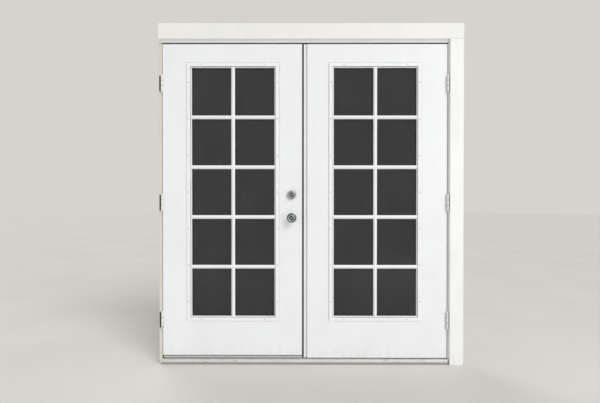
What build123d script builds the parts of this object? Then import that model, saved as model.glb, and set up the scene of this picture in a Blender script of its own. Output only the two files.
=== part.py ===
from build123d import *
import os
from dataclasses import dataclass
from math import cos, pi, sqrt

# Pair of glazed entrance doors that open outwards, with frame, sill and trim.
# Millimetres. X runs to the right seen from outside, -Y points outdoors, +Z is up.
# The origin is on the floor, midway between the jambs, at the outer edge of the jambs.
# The left leaf is the active one, with knob and deadbolt. The right leaf carries the
# astragal, which is the strip that closes the seam, and is held by two flush bolts.

# Leaves
LEAF_WIDTH = 908.0
LEAF_THICKNESS = 44.5
LEAF_TOP = 2077.0
LEFT_LEAF_BOTTOM = 57.0
RIGHT_LEAF_BOTTOM = 40.0
MEETING_EDGE = 15.5
HINGE_EDGE = MEETING_EDGE + LEAF_WIDTH
SKIN = 2.0
CORE_BACK = LEAF_THICKNESS - SKIN
MID_THICKNESS = LEAF_THICKNESS / 2

# Glazing
LITE_WIDTH = 600.0
LITE_HEIGHT = 1676.0
LITE_TOP_MARGIN = 121.0
LEFT_LITE_CENTRE = -465.5
RIGHT_LITE_CENTRE = 456.5
LITE_CENTRE_Z = LEAF_TOP - LITE_TOP_MARGIN - LITE_HEIGHT / 2
CUTOUT_MARGIN = 14.0
CUT_OVERRUN = 1.0
LEG_MARGIN = 14.5
PANE_MARGIN = 17.0
REBATE_MARGIN = 24.0
GRILLE_MARGIN = 25.6
SIGHT_MARGIN = 30.0
LITE_EDGE_MARGIN = 31.5
FLANGE_HEIGHT = 5.5
FLANGE_CHAMFER = 1.8
REBATE_DEPTH = 2.5
PANE_FACE = 15.0
PANE_THICKNESS = 3.0
SPACER_WIDTH = 7.0
BAR_WIDTH = 24.5
BAR_RIDGE = 5.0
BAR_TOP_HEIGHT = 4.5
BAR_PITCH = 323.6
LITE_COLUMNS = 2
LITE_ROWS = 5

# Jambs, head and stops
HINGE_GAP = 3.0
RABBET_FACE = HINGE_EDGE + HINGE_GAP
JAMB_THICKNESS = 20.0
JAMB_OUTER = RABBET_FACE + JAMB_THICKNESS
JAMB_DEPTH = 116.0
STOP_FRONT = 51.5
STOP_THICKNESS = 12.0
STOP_FACE = RABBET_FACE - STOP_THICKNESS
HEAD_GAP = 6.0
HEAD_UNDERSIDE = LEAF_TOP + HEAD_GAP
HEAD_THICKNESS = 32.0
HEAD_TOP = HEAD_UNDERSIDE + HEAD_THICKNESS
HEAD_STOP_UNDERSIDE = HEAD_UNDERSIDE - STOP_THICKNESS

# Flat outside trim
CASING_THICKNESS = 19.0
CASING_REVEAL = 8.0
CASING_WIDTH = 89.0
CASING_INNER = RABBET_FACE + CASING_REVEAL
CASING_OUTER = CASING_INNER + CASING_WIDTH
HEAD_CASING_UNDERSIDE = 2104.0
HEAD_CASING_TOP = 2205.0
CASING_EASE = 2.0

# Sill
SILL_NOSE = -12.0
SILL_WALL = 2.0
SILL_FRONT_HEIGHT = 31.0
SILL_DECK_HEIGHT = 34.0
RIDGE_FRONT = 50.0
RIDGE_BACK = 60.0
RIDGE_HEIGHT = 46.0
SILL_CHAMFER = 3.0

# Seals
SEAL_GAP = 0.5
BULB_DEPTH = STOP_FRONT - LEAF_THICKNESS - SEAL_GAP
BULB_WIDTH = 9.0
BULB_CHAMFER = 2.6
SWEEP_FRONT = 6.0
SWEEP_BACK = 38.0
SWEEP_FIN = 3.0
LEFT_SWEEP_DROP = 19.0
RIGHT_SWEEP_DROP = 4.0
SWEEP_FIN_COUNT = 3
SILL_GASKET_HEIGHT = 19.0
STOP_SEAL_INSET = 1.0

# Hinges
HINGE_HEIGHTS = (287.0, 1050.5, 1822.0)
PIN_X = RABBET_FACE - HINGE_GAP / 2
PIN_Y = -8.7
BARREL_RADIUS = 7.5
PIN_RADIUS = 3.5
PIN_CLEARANCE = 0.05
PIN_SIDES = 12
PIN_BORE_RADIUS = (PIN_RADIUS + PIN_CLEARANCE) / cos(pi / PIN_SIDES)
HINGE_HEIGHT = 101.6
HINGE_PLATE = 2.5
HINGE_PLATE_BACK = 34.0
KNUCKLES = 3
KNUCKLE_GAP = 0.4
PLATE_RELIEF = -0.5

# Lock set on the active leaf
BACKSET = 70.0
LOCK_X = -(MEETING_EDGE + BACKSET)
KNOB_Z = 951.0
DEADBOLT_Z = 1101.0
PASSAGE_HALF = 9.0
CASE_WALL = 2.0
CASE_TAIL = 12.0
FACEPLATE = 2.0
FACEPLATE_HALF_WIDTH = 12.0
FACEPLATE_HALF_HEIGHT = 28.5
BOLT_SETBACK = 0.3
SLIDE_CLEARANCE = 0.3
LATCH_HALF_WIDTH = 6.0
LATCH_HALF_HEIGHT = 7.5
LATCH_LENGTH = 40.0
LATCH_THROW = 12.0
LATCH_BEVEL = 8.0
BOLT_HALF_WIDTH = 6.5
BOLT_HALF_HEIGHT = 9.5
BOLT_LENGTH = 48.0
BOLT_THROW = 25.0
SPINDLE_HALF = 4.0
SPINDLE_ROOM = 6.5
ROSE_RADIUS = 31.5
ROSE_HEIGHT = 6.0
SHANK_RADIUS = 10.0
KNOB_RADIUS = 25.0
KNOB_BACK = 34.0
KNOB_REACH = 58.0
SOCKET_REACH = 24.0
PLUG_RADIUS = 6.0
PLUG_DEPTH = 12.0
PLUG_CLEARANCE = 0.1
BUTTON_HALF_WIDTH = 2.2
BUTTON_HALF_HEIGHT = 8.0
BUTTON_REACH = 9.0
BUTTON_CHAMFER = 3.0
COLLAR_RADIUS = 27.0
COLLAR_HEIGHT = 17.0
TAIL_HALF = 3.0
TAIL_ENTRY = 8.0
THUMBTURN_HALF_WIDTH = 5.0
THUMBTURN_HALF_HEIGHT = 17.0
THUMBTURN_REACH = 17.0
THUMBTURN_CHAMFER = 7.0

# Height, face and direction of each round lock plate
LOCK_ROSE_SEATS = (
    (KNOB_Z, 0, -1),
    (KNOB_Z, LEAF_THICKNESS, 1),
    (DEADBOLT_Z, LEAF_THICKNESS, 1),
)

# Astragal and flush bolts on the right leaf
SEAM_GAP = 8.0
ASTRAGAL_EDGE = SEAM_GAP - MEETING_EDGE
ASTRAGAL_FRONT = 3.0
ASTRAGAL_ROUND = 2.5
ASTRAGAL_GROOVE_EDGE = 5.0
ASTRAGAL_GROOVE_DEPTH = 5.0
ASTRAGAL_GROOVE_SLOPE = 1.5
SEAM_SEAL_FRONT = 33.0
SEAM_SEAL_BACK = 39.0
SEAM_SEAL_REACH = 6.0
SEAM_SEAL_ROOT = 3.0
STRIKE_CLEARANCE = 1.0
STRIKE_PLATE = 2.0
STRIKE_HALF_WIDTH = 10.0
HEAD_STRIKE_HALF_LENGTH = 20.0
POCKET_SPARE = 3.0
FLUSH_BOLT_X = 2.5
FLUSH_BOLT_HALF_WIDTH = 5.0
FLUSH_BOLT_HALF_DEPTH = 4.0
FLUSH_BOLT_LENGTH = 230.0
FLUSH_BOLT_THROW = 19.0
FLUSH_BOLT_SETBACK = 0.5
THUMB_HALF_WIDTH = 3.0
THUMB_HEIGHT = 20.0
THUMB_INSET = 1.0
THUMB_FROM_TAIL = 28.0
SOCKET_SPARE = 1.5
SOCKET_DEPTH = 22.0

# Screw holes through the jambs into the wall's studs
FIXING_RADIUS = 2.5
FIXING_Y = 25.0
FIXING_HEIGHTS = (160.0, 1950.0)


@dataclass(frozen=True)
class Leaf:
    """One door leaf: name, side of the seam, bottom edge, drop of its seal, middle of its glass."""

    name: str
    side: int
    bottom: float
    sweep_drop: float
    lite_x: float


LEFT = Leaf("left", -1, LEFT_LEAF_BOTTOM, LEFT_SWEEP_DROP, LEFT_LITE_CENTRE)
RIGHT = Leaf("right", 1, RIGHT_LEAF_BOTTOM, RIGHT_SWEEP_DROP, RIGHT_LITE_CENTRE)
LEAVES = (LEFT, RIGHT)


def block(x0, x1, y0, y1, z0, z1):
    """A rectangular solid between two planes along each axis, in either order."""
    corner = Pos(min(x0, x1), min(y0, y1), min(z0, z1))
    low = (Align.MIN, Align.MIN, Align.MIN)
    return corner * Box(abs(x1 - x0), abs(y1 - y0), abs(z1 - z0), align=low)


def rod(start, end, radius):
    """A round bar from one centre point to another."""
    along = Vector(*end) - Vector(*start)
    return extrude(Plane(origin=start, z_dir=along) * Circle(radius), amount=along.length)


def run_up(outline, z0, z1):
    """A section drawn in X and Y, carried upwards from one height to another."""
    return extrude(Pos(0, 0, z0) * make_face(Polyline(*outline, close=True)), amount=z1 - z0)


def run_across(outline, x0, x1):
    """A section drawn in Y and Z, carried along X from one side to the other."""
    plane = Plane(origin=(x0, 0, 0), x_dir=(0, 1, 0), z_dir=(1, 0, 0))
    return extrude(plane * make_face(Polyline(*outline, close=True)), amount=x1 - x0)


def outside_face(leaf):
    """The outdoor face of one leaf, centred on its lite frame."""
    return Plane(origin=(leaf.lite_x, 0, LITE_CENTRE_Z), x_dir=(1, 0, 0), z_dir=(0, -1, 0))


def inside_face(leaf):
    """The indoor face of one leaf, centred on its lite frame."""
    centre = (leaf.lite_x, LEAF_THICKNESS, LITE_CENTRE_Z)
    return Plane(origin=centre, x_dir=(-1, 0, 0), z_dir=(0, 1, 0))


def lite_sheet(plane, margin, start, end):
    """A plate as large as the lite frame less a margin all round, between two heights."""
    face = Rectangle(LITE_WIDTH - 2 * margin, LITE_HEIGHT - 2 * margin)
    return extrude(plane.offset(start) * face, amount=end - start)


# Leaf structure


def window_sides(leaf):
    """The two upright edges of the opening that takes the glazing, seam side first."""
    half = LITE_WIDTH / 2 - CUTOUT_MARGIN
    return leaf.lite_x - leaf.side * half, leaf.lite_x + leaf.side * half


def window(leaf):
    """The opening through the leaf that takes the glazing."""
    rise = LITE_HEIGHT / 2 - CUTOUT_MARGIN
    depth = (-CUT_OVERRUN, LEAF_THICKNESS + CUT_OVERRUN)
    return block(*window_sides(leaf), *depth, LITE_CENTRE_Z - rise, LITE_CENTRE_Z + rise)


def lock_cuts():
    """Passages and faceplate recesses for the knob and the deadbolt in the active leaf."""
    cuts = [latch_case_body(), deadbolt_case_body()]
    for z in (KNOB_Z, DEADBOLT_Z):
        cuts.append(through_leaf(z, PASSAGE_HALF))
        cuts.append(faceplate(z))
    return cuts


def hinge_recesses(side, edge, direction, plate_back):
    """Shallow recesses for hinge plates, cut into an edge at each hinge height."""
    inner = side * edge
    outer = side * (edge + direction * HINGE_PLATE)
    rise = HINGE_HEIGHT / 2
    front = -CUT_OVERRUN
    return [block(inner, outer, front, plate_back, z - rise, z + rise) for z in HINGE_HEIGHTS]


def hinge_stile(leaf):
    """Upright core member on the hinge side, with its hinge recesses."""
    s = leaf.side
    inner = window_sides(leaf)[1]
    stile = block(inner, s * HINGE_EDGE, SKIN, CORE_BACK, leaf.bottom, LEAF_TOP)
    return stile - hinge_recesses(s, HINGE_EDGE, -1, HINGE_PLATE_BACK)


def meeting_stile(leaf):
    """Upright core member at the seam, cut for the lock set on the active leaf."""
    outer = window_sides(leaf)[0]
    stile = block(leaf.side * MEETING_EDGE, outer, SKIN, CORE_BACK, leaf.bottom, LEAF_TOP)
    return stile - lock_cuts() if leaf is LEFT else stile


def core_rail(leaf, z0, z1):
    """Level core member between the stiles."""
    return block(*window_sides(leaf), SKIN, CORE_BACK, z0, z1)


def skin(leaf, y0):
    """Thin facing sheet with the window and any passages for the lock cut out."""
    s = leaf.side
    sheet = block(s * MEETING_EDGE, s * HINGE_EDGE, y0, y0 + SKIN, leaf.bottom, LEAF_TOP)
    sheet -= window(leaf)
    if leaf is LEFT:
        sheet -= lock_cuts()
    return sheet - hinge_recesses(s, HINGE_EDGE, -1, HINGE_PLATE_BACK)


def sweep_seal(leaf):
    """Finned seal under the leaf."""
    s = leaf.side
    z0 = leaf.bottom - leaf.sweep_drop
    ends = (s * (MEETING_EDGE + SWEEP_FIN), s * (HINGE_EDGE - SWEEP_FIN))
    strip = block(*ends, SWEEP_FRONT, SWEEP_BACK, leaf.bottom - SWEEP_FIN, leaf.bottom)
    pitch = (SWEEP_BACK - SWEEP_FRONT - SWEEP_FIN) / (SWEEP_FIN_COUNT - 1)
    for i in range(SWEEP_FIN_COUNT):
        y = SWEEP_FRONT + i * pitch
        strip += block(*ends, y, y + SWEEP_FIN, z0, leaf.bottom)
    return strip


# Glazing


def lite_frame(plane):
    """Moulded ring that clamps the glass: a flange on the leaf and a leg down to the pane."""
    flange = lite_sheet(plane, 0, 0, FLANGE_HEIGHT)
    front = flange.faces().filter_by(lambda f: f.normal_at().dot(plane.z_dir) > 0.9)[0]
    flange = chamfer(front.edges(), FLANGE_CHAMFER)
    leg = lite_sheet(plane, LEG_MARGIN, -PANE_FACE, 0)
    rebate = lite_sheet(plane, REBATE_MARGIN, -REBATE_DEPTH, FLANGE_HEIGHT)
    sight = lite_sheet(plane, SIGHT_MARGIN, -PANE_FACE, FLANGE_HEIGHT)
    return flange + leg - rebate - sight


def lite_cells():
    """Centre, width and height of every lite between the bars, in the plane of the grille."""
    inner_width = LITE_WIDTH - 2 * LITE_EDGE_MARGIN
    inner_height = LITE_HEIGHT - 2 * LITE_EDGE_MARGIN
    width = (inner_width - (LITE_COLUMNS - 1) * BAR_WIDTH) / LITE_COLUMNS
    bars = [(i - (LITE_ROWS - 2) / 2) * BAR_PITCH for i in range(LITE_ROWS - 1)]
    lows = [-inner_height / 2] + [z + BAR_WIDTH / 2 for z in bars]
    highs = [z - BAR_WIDTH / 2 for z in bars] + [inner_height / 2]
    columns = [(i - (LITE_COLUMNS - 1) / 2) * (width + BAR_WIDTH) for i in range(LITE_COLUMNS)]
    return [(x, (a + b) / 2, width, b - a) for a, b in zip(lows, highs) for x in columns]


def grille(plane):
    """Bars and rim moulded in one piece: each lite is a bevelled opening, so the bars
    keep a flat ridge between two slopes and meet in mitres at the crossings."""
    lattice = lite_sheet(plane, GRILLE_MARGIN, -REBATE_DEPTH, BAR_TOP_HEIGHT)
    slope = (BAR_WIDTH - BAR_RIDGE) / 2
    for x, z, width, height in lite_cells():
        low = plane.offset(-REBATE_DEPTH) * Pos(x, z) * Rectangle(width, height)
        wide = Rectangle(width + 2 * slope, height + 2 * slope)
        high = plane.offset(BAR_TOP_HEIGHT) * Pos(x, z) * wide
        lattice -= loft([low, high], ruled=True)
    return lattice


def glass_panes(leaf):
    """The two panes of the sealed unit."""
    plane = outside_face(leaf)
    inner = LEAF_THICKNESS - PANE_FACE
    outer_pane = lite_sheet(plane, PANE_MARGIN, -PANE_FACE - PANE_THICKNESS, -PANE_FACE)
    inner_pane = lite_sheet(plane, PANE_MARGIN, -inner, PANE_THICKNESS - inner)
    return Compound([outer_pane.solid(), inner_pane.solid()])


def pane_spacer(leaf):
    """Ring that holds the panes apart and seals the edge of the unit."""
    plane = outside_face(leaf)
    low = PANE_FACE + PANE_THICKNESS
    high = LEAF_THICKNESS - PANE_FACE - PANE_THICKNESS
    ring = lite_sheet(plane, PANE_MARGIN, -high, -low)
    return ring - lite_sheet(plane, PANE_MARGIN + SPACER_WIDTH, -high, -low)


# Frame


def side_jamb(side):
    """Jamb with its stop milled from one piece, notched to sit over the sill."""
    s = side
    outline = [
        (s * RABBET_FACE, 0),
        (s * JAMB_OUTER, 0),
        (s * JAMB_OUTER, JAMB_DEPTH),
        (s * STOP_FACE, JAMB_DEPTH),
        (s * STOP_FACE, STOP_FRONT),
        (s * RABBET_FACE, STOP_FRONT),
    ]
    jamb = run_up(outline, 0, HEAD_UNDERSIDE)
    inner = s * (STOP_FACE - CUT_OVERRUN)
    jamb -= block(inner, s * RABBET_FACE, 0, JAMB_DEPTH, 0, RIDGE_HEIGHT)
    jamb -= hinge_recesses(s, RABBET_FACE, 1, HINGE_PLATE_BACK)
    for z in FIXING_HEIGHTS:
        near = (s * (RABBET_FACE - CUT_OVERRUN), FIXING_Y, z)
        jamb -= rod(near, (s * (JAMB_OUTER + CUT_OVERRUN), FIXING_Y, z), FIXING_RADIUS)
    return jamb


def flush_bolt_socket(z0, z1):
    """Square hole in the head or the sill for a flush bolt."""
    half_width = FLUSH_BOLT_HALF_WIDTH + SOCKET_SPARE
    half_depth = FLUSH_BOLT_HALF_DEPTH + SOCKET_SPARE
    x = FLUSH_BOLT_X
    y = MID_THICKNESS
    return block(x - half_width, x + half_width, y - half_depth, y + half_depth, z0, z1)


def head_strike_blank():
    """Plate round the top flush bolt's socket, before it is pierced."""
    x0 = FLUSH_BOLT_X - HEAD_STRIKE_HALF_LENGTH
    x1 = FLUSH_BOLT_X + HEAD_STRIKE_HALF_LENGTH
    y0 = MID_THICKNESS - STRIKE_HALF_WIDTH
    y1 = MID_THICKNESS + STRIKE_HALF_WIDTH
    return block(x0, x1, y0, y1, HEAD_UNDERSIDE, HEAD_UNDERSIDE + STRIKE_PLATE)


def head_jamb():
    """Head member over the leaves, with its stop and the socket for the top flush bolt."""
    head = block(-JAMB_OUTER, JAMB_OUTER, 0, JAMB_DEPTH, HEAD_UNDERSIDE, HEAD_TOP)
    stop = (-STOP_FACE, STOP_FACE, STOP_FRONT, JAMB_DEPTH)
    head += block(*stop, HEAD_STOP_UNDERSIDE, HEAD_UNDERSIDE)
    head -= flush_bolt_socket(HEAD_UNDERSIDE, HEAD_UNDERSIDE + SOCKET_DEPTH)
    return head - head_strike_blank()


def head_strike():
    """Plate let into the head jamb round the top flush bolt's socket."""
    return head_strike_blank() - flush_bolt_socket(HEAD_UNDERSIDE, HEAD_UNDERSIDE + SOCKET_DEPTH)


def sill_outline(inset):
    """Section of the sill: nose, sloped deck, ridge behind the leaves and level back."""
    deck = SILL_DECK_HEIGHT - inset
    nose = SILL_NOSE + inset
    front = SILL_FRONT_HEIGHT - inset
    ease = SILL_CHAMFER - inset * (2 - sqrt(2))
    ridge = RIDGE_HEIGHT - inset
    return [
        (nose, 0),
        (nose, front - ease),
        (nose + ease, front),
        (RIDGE_FRONT - SILL_CHAMFER, deck),
        (RIDGE_FRONT + inset, ridge),
        (RIDGE_BACK - inset, ridge),
        (RIDGE_BACK + SILL_CHAMFER, deck),
        (JAMB_DEPTH - inset, deck),
        (JAMB_DEPTH - inset, 0),
    ]


def sill_socket():
    """Hole for the bottom flush bolt."""
    return flush_bolt_socket(SOCKET_DEPTH / 2, RIDGE_HEIGHT)


def sill_base():
    """Solid core under the metal cover."""
    return run_across(sill_outline(SILL_WALL), -RABBET_FACE, RABBET_FACE) - sill_socket()


def sill_cover():
    """Thin metal cover folded over the core."""
    cover = run_across(sill_outline(0), -RABBET_FACE, RABBET_FACE)
    cover -= run_across(sill_outline(SILL_WALL), -RABBET_FACE, RABBET_FACE)
    return cover - sill_socket()


def right_casing():
    """Flat trim board beside the right jamb, with eased long edges."""
    board = block(CASING_INNER, CASING_OUTER, -CASING_THICKNESS, 0, 0, HEAD_CASING_UNDERSIDE)
    edges = board.edges().filter_by(Axis.Z).group_by(Axis.Y)[0]
    return chamfer(edges, CASING_EASE)


def head_casing():
    """Flat trim board over the doorway. The upright board butts up under its right end."""
    board = block(-JAMB_OUTER, CASING_OUTER, -CASING_THICKNESS, 0, HEAD_CASING_UNDERSIDE, HEAD_CASING_TOP)
    edges = board.edges().filter_by(Axis.X).group_by(Axis.Y)[0]
    return chamfer(edges, CASING_EASE)


# Seals in the frame


def bulb_seal(x0, x1, y0, y1, z0, z1, along):
    """Soft seal with its front edges taken off, laid along one axis."""
    strip = block(x0, x1, y0, y1, z0, z1)
    return chamfer(strip.edges().filter_by(along).group_by(Axis.Y)[0], BULB_CHAMFER)


def frame_seals():
    """Seals in the corner of the stops: two up the jambs and one across the head."""
    near = LEAF_THICKNESS + SEAL_GAP
    back = near + BULB_DEPTH
    strips = []
    for s in (-1, 1):
        x1 = s * (RABBET_FACE - STOP_SEAL_INSET)
        x0 = x1 - s * BULB_WIDTH
        strips.append(bulb_seal(x0, x1, near, back, RIDGE_HEIGHT, HEAD_STOP_UNDERSIDE, Axis.Z).solid())
    z1 = HEAD_UNDERSIDE - STOP_SEAL_INSET
    low = HEAD_STOP_UNDERSIDE + STOP_SEAL_INSET
    strips.append(bulb_seal(-STOP_FACE, STOP_FACE, near, back, low, z1, Axis.X).solid())
    return Compound(strips)


def sill_gasket():
    """Seal that stands on the ridge behind the bottom edges of the leaves."""
    near = LEAF_THICKNESS + SEAL_GAP
    top = RIDGE_HEIGHT + SILL_GASKET_HEIGHT
    back = STOP_FRONT
    return bulb_seal(-STOP_FACE, STOP_FACE, near, back, RIDGE_HEIGHT, top, Axis.X)


# Hinges


def knuckle_span(index, z):
    """Lowest and highest point of one knuckle of the hinge centred at a height."""
    pitch = HINGE_HEIGHT / KNUCKLES
    low = z - HINGE_HEIGHT / 2 + index * pitch
    return low + KNUCKLE_GAP / 2, low + pitch - KNUCKLE_GAP / 2


def barrel(side, low, high, radius):
    """A round length on the pin's axis."""
    x = side * PIN_X
    return rod((x, PIN_Y, low), (x, PIN_Y, high), radius)


def many_sided(side, low, high, radius):
    """A pin or its bore, out of sight on the same axis and drawn with flat sides."""
    base = Plane(origin=(side * PIN_X, PIN_Y, low))
    return extrude(base * RegularPolygon(radius, PIN_SIDES), amount=high - low)


def hinge_half(side, z, face, inward, knuckles):
    """Plate with its share of the knuckles. The plate is cut back beside the others."""
    x0 = side * face
    x1 = side * (face + inward * HINGE_PLATE)
    rise = HINGE_HEIGHT / 2
    half = block(x0, x1, PLATE_RELIEF, HINGE_PLATE_BACK, z - rise, z + rise)
    for index in knuckles:
        low, high = knuckle_span(index, z)
        half += block(x0, x1, PIN_Y, PLATE_RELIEF, low, high)
        half += barrel(side, low, high, BARREL_RADIUS)
    return half


def jamb_hinge_plates():
    """Hinge halves let into both jambs: the end knuckles, with the pin fast in them."""
    halves = []
    for s in (-1, 1):
        for z in HINGE_HEIGHTS:
            low, high = knuckle_span(1, z)
            half = hinge_half(s, z, RABBET_FACE, 1, (0, 2))
            half += many_sided(s, low - KNUCKLE_GAP, high + KNUCKLE_GAP, PIN_RADIUS)
            halves.append(half.solid())
    return Compound(halves)


def leaf_hinge_plates(leaf):
    """Hinge halves let into the edge of one leaf: the middle knuckle, bored for the pin."""
    halves = []
    for z in HINGE_HEIGHTS:
        low, high = knuckle_span(1, z)
        half = hinge_half(leaf.side, z, HINGE_EDGE, -1, (1,))
        half -= many_sided(leaf.side, low - CUT_OVERRUN, high + CUT_OVERRUN, PIN_BORE_RADIUS)
        halves.append(half.solid())
    return Compound(halves)


# Lock set


def faceplate(z):
    """Plate let into the edge of the active leaf round a bolt."""
    return block(
        -MEETING_EDGE,
        -MEETING_EDGE - FACEPLATE,
        MID_THICKNESS - FACEPLATE_HALF_WIDTH,
        MID_THICKNESS + FACEPLATE_HALF_WIDTH,
        z - FACEPLATE_HALF_HEIGHT,
        z + FACEPLATE_HALF_HEIGHT,
    )


def bolt_bar(z, half_width, half_height, x0, x1, spare):
    """Rectangular bar on a bolt's line of travel, with spare room all round."""
    y = MID_THICKNESS
    w = half_width + spare
    h = half_height + spare
    return block(x0, x1, y - w, y + w, z - h, z + h)


def through_leaf(z, half):
    """Square passage along Y through everything at one of the lock's two heights."""
    reach = KNOB_REACH
    return block(LOCK_X - half, LOCK_X + half, -reach, LEAF_THICKNESS + reach, z - half, z + half)


def latch_case_body():
    """Outside of the latch's case behind its faceplate."""
    x0 = LOCK_X - CASE_TAIL
    x1 = -MEETING_EDGE - FACEPLATE
    return bolt_bar(KNOB_Z, LATCH_HALF_WIDTH, LATCH_HALF_HEIGHT, x0, x1, CASE_WALL)


def deadbolt_case_body():
    """Outside of the deadbolt's case behind its faceplate."""
    x0 = LOCK_X - CASE_TAIL
    x1 = -MEETING_EDGE - FACEPLATE
    return bolt_bar(DEADBOLT_Z, BOLT_HALF_WIDTH, BOLT_HALF_HEIGHT, x0, x1, CASE_WALL)


def bolt_case(body, z, half_width, half_height, length):
    """Case and faceplate that guide a bolt, with a cross passage for the spindle."""
    tail = -MEETING_EDGE - BOLT_SETBACK - length - SLIDE_CLEARANCE
    case = body + faceplate(z)
    case -= bolt_bar(z, half_width, half_height, tail, -MEETING_EDGE, SLIDE_CLEARANCE)
    return case - through_leaf(z, SPINDLE_ROOM)


def latch_case():
    """Case of the spring latch."""
    return bolt_case(latch_case_body(), KNOB_Z, LATCH_HALF_WIDTH, LATCH_HALF_HEIGHT, LATCH_LENGTH)


def deadbolt_case():
    """Case of the deadbolt."""
    return bolt_case(deadbolt_case_body(), DEADBOLT_Z, BOLT_HALF_WIDTH, BOLT_HALF_HEIGHT, BOLT_LENGTH)


def latch_bolt():
    """Spring latch with its sloping face towards the stop, shown drawn back."""
    nose = -MEETING_EDGE - BOLT_SETBACK
    tail = nose - LATCH_LENGTH
    bar = bolt_bar(KNOB_Z, LATCH_HALF_WIDTH, LATCH_HALF_HEIGHT, tail, nose, 0)
    edge = bar.edges().filter_by(Axis.Z).group_by(Axis.X)[-1].sort_by(Axis.Y)[-1]
    return chamfer(edge, LATCH_BEVEL)


def deadbolt():
    """Square-ended bolt, shown drawn back."""
    nose = -MEETING_EDGE - BOLT_SETBACK
    return bolt_bar(DEADBOLT_Z, BOLT_HALF_WIDTH, BOLT_HALF_HEIGHT, nose - BOLT_LENGTH, nose, 0)


def square_shaft(z, half, y0, y1):
    """Square bar along Y at one of the lock's two heights."""
    return block(LOCK_X - half, LOCK_X + half, y0, y1, z - half, z + half)


def round_bar(z, y0, y1, radius):
    """Round bar along Y at one of the lock's two heights."""
    return rod((LOCK_X, y0, z), (LOCK_X, y1, z), radius)


def lock_roses():
    """Three alike round plates: one under each knob and one inside at the deadbolt."""
    plates = []
    for z, face, outward in LOCK_ROSE_SEATS:
        plate = round_bar(z, face, face + outward * ROSE_HEIGHT, ROSE_RADIUS)
        plates.append((plate - through_leaf(z, SPINDLE_ROOM)).solid())
    return Compound(plates)


def knob(face, outward):
    """Drum on a narrower shank, with a square socket behind and a round seat in front."""
    start = face + outward * (ROSE_HEIGHT + SLIDE_CLEARANCE)
    back = face + outward * KNOB_BACK
    front = face + outward * KNOB_REACH
    seat = front - outward * (PLUG_DEPTH + SLIDE_CLEARANCE)
    form = round_bar(KNOB_Z, start, back, SHANK_RADIUS)
    form += round_bar(KNOB_Z, back, front, KNOB_RADIUS)
    form -= round_bar(KNOB_Z, seat, front, PLUG_RADIUS + PLUG_CLEARANCE)
    return form - square_shaft(KNOB_Z, SPINDLE_HALF, start, face + outward * SOCKET_REACH)


def knobs():
    """The outside and the inside knob, which are alike."""
    return Compound([knob(0, -1).solid(), knob(LEAF_THICKNESS, 1).solid()])


def knob_spindle():
    """Square bar that joins the knobs through the latch."""
    return square_shaft(KNOB_Z, SPINDLE_HALF, -SOCKET_REACH, LEAF_THICKNESS + SOCKET_REACH)


def knob_key_plug():
    """Key cylinder plug in the face of the outside knob."""
    return round_bar(KNOB_Z, -KNOB_REACH, PLUG_DEPTH - KNOB_REACH, PLUG_RADIUS)


def turn_button():
    """Button in the face of the inside knob, turned to lock it."""
    front = LEAF_THICKNESS + KNOB_REACH
    x0 = LOCK_X - BUTTON_HALF_WIDTH
    x1 = LOCK_X + BUTTON_HALF_WIDTH
    rise = BUTTON_HALF_HEIGHT
    back = front + SLIDE_CLEARANCE
    lever = block(x0, x1, back, back + BUTTON_REACH, KNOB_Z - rise, KNOB_Z + rise)
    lever = chamfer(lever.edges().filter_by(Axis.X).group_by(Axis.Y)[-1], BUTTON_CHAMFER)
    return lever + round_bar(KNOB_Z, front - PLUG_DEPTH, back, PLUG_RADIUS)


def deadbolt_collar():
    """Outside housing of the deadbolt's key cylinder."""
    collar = round_bar(DEADBOLT_Z, 0, -COLLAR_HEIGHT, COLLAR_RADIUS)
    return collar - round_bar(DEADBOLT_Z, 0, -COLLAR_HEIGHT, PLUG_RADIUS + PLUG_CLEARANCE)


def deadbolt_key_plug():
    """Key cylinder plug with the tailpiece that works the bolt, up to the thumb turn."""
    seat = -SLIDE_CLEARANCE
    plug = round_bar(DEADBOLT_Z, -COLLAR_HEIGHT, seat, PLUG_RADIUS)
    return plug + square_shaft(DEADBOLT_Z, TAIL_HALF, seat, thumbturn_back() + TAIL_ENTRY)


def thumbturn_back():
    """The plane in which the thumb turn starts, just clear of its rose."""
    return LEAF_THICKNESS + ROSE_HEIGHT + SLIDE_CLEARANCE


def deadbolt_thumbturn():
    """Inside lever of the deadbolt, socketed for the tailpiece."""
    back = thumbturn_back()
    x0 = LOCK_X - THUMBTURN_HALF_WIDTH
    x1 = LOCK_X + THUMBTURN_HALF_WIDTH
    rise = THUMBTURN_HALF_HEIGHT
    lever = block(x0, x1, back, back + THUMBTURN_REACH, DEADBOLT_Z - rise, DEADBOLT_Z + rise)
    lever = chamfer(lever.edges().filter_by(Axis.X).group_by(Axis.Y)[-1], THUMBTURN_CHAMFER)
    socket_end = back + TAIL_ENTRY + SLIDE_CLEARANCE
    return lever - square_shaft(DEADBOLT_Z, TAIL_HALF + SLIDE_CLEARANCE, back, socket_end)


# Astragal with its flush bolts


def strike_plate(z):
    """Plate let into the astragal opposite a bolt."""
    half = STRIKE_HALF_WIDTH
    y = MID_THICKNESS
    rise = FACEPLATE_HALF_HEIGHT
    return block(ASTRAGAL_EDGE, ASTRAGAL_EDGE + STRIKE_PLATE, y - half, y + half, z - rise, z + rise)


def strike_pocket(z, half_width, half_height, throw):
    """Room in the astragal for the thrown bolt."""
    depth = throw - MEETING_EDGE - BOLT_SETBACK + POCKET_SPARE
    near = ASTRAGAL_EDGE - CUT_OVERRUN
    return bolt_bar(z, half_width, half_height, near, depth, STRIKE_CLEARANCE)


def latch_pocket():
    """Pocket for the latch."""
    return strike_pocket(KNOB_Z, LATCH_HALF_WIDTH, LATCH_HALF_HEIGHT, LATCH_THROW)


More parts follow.
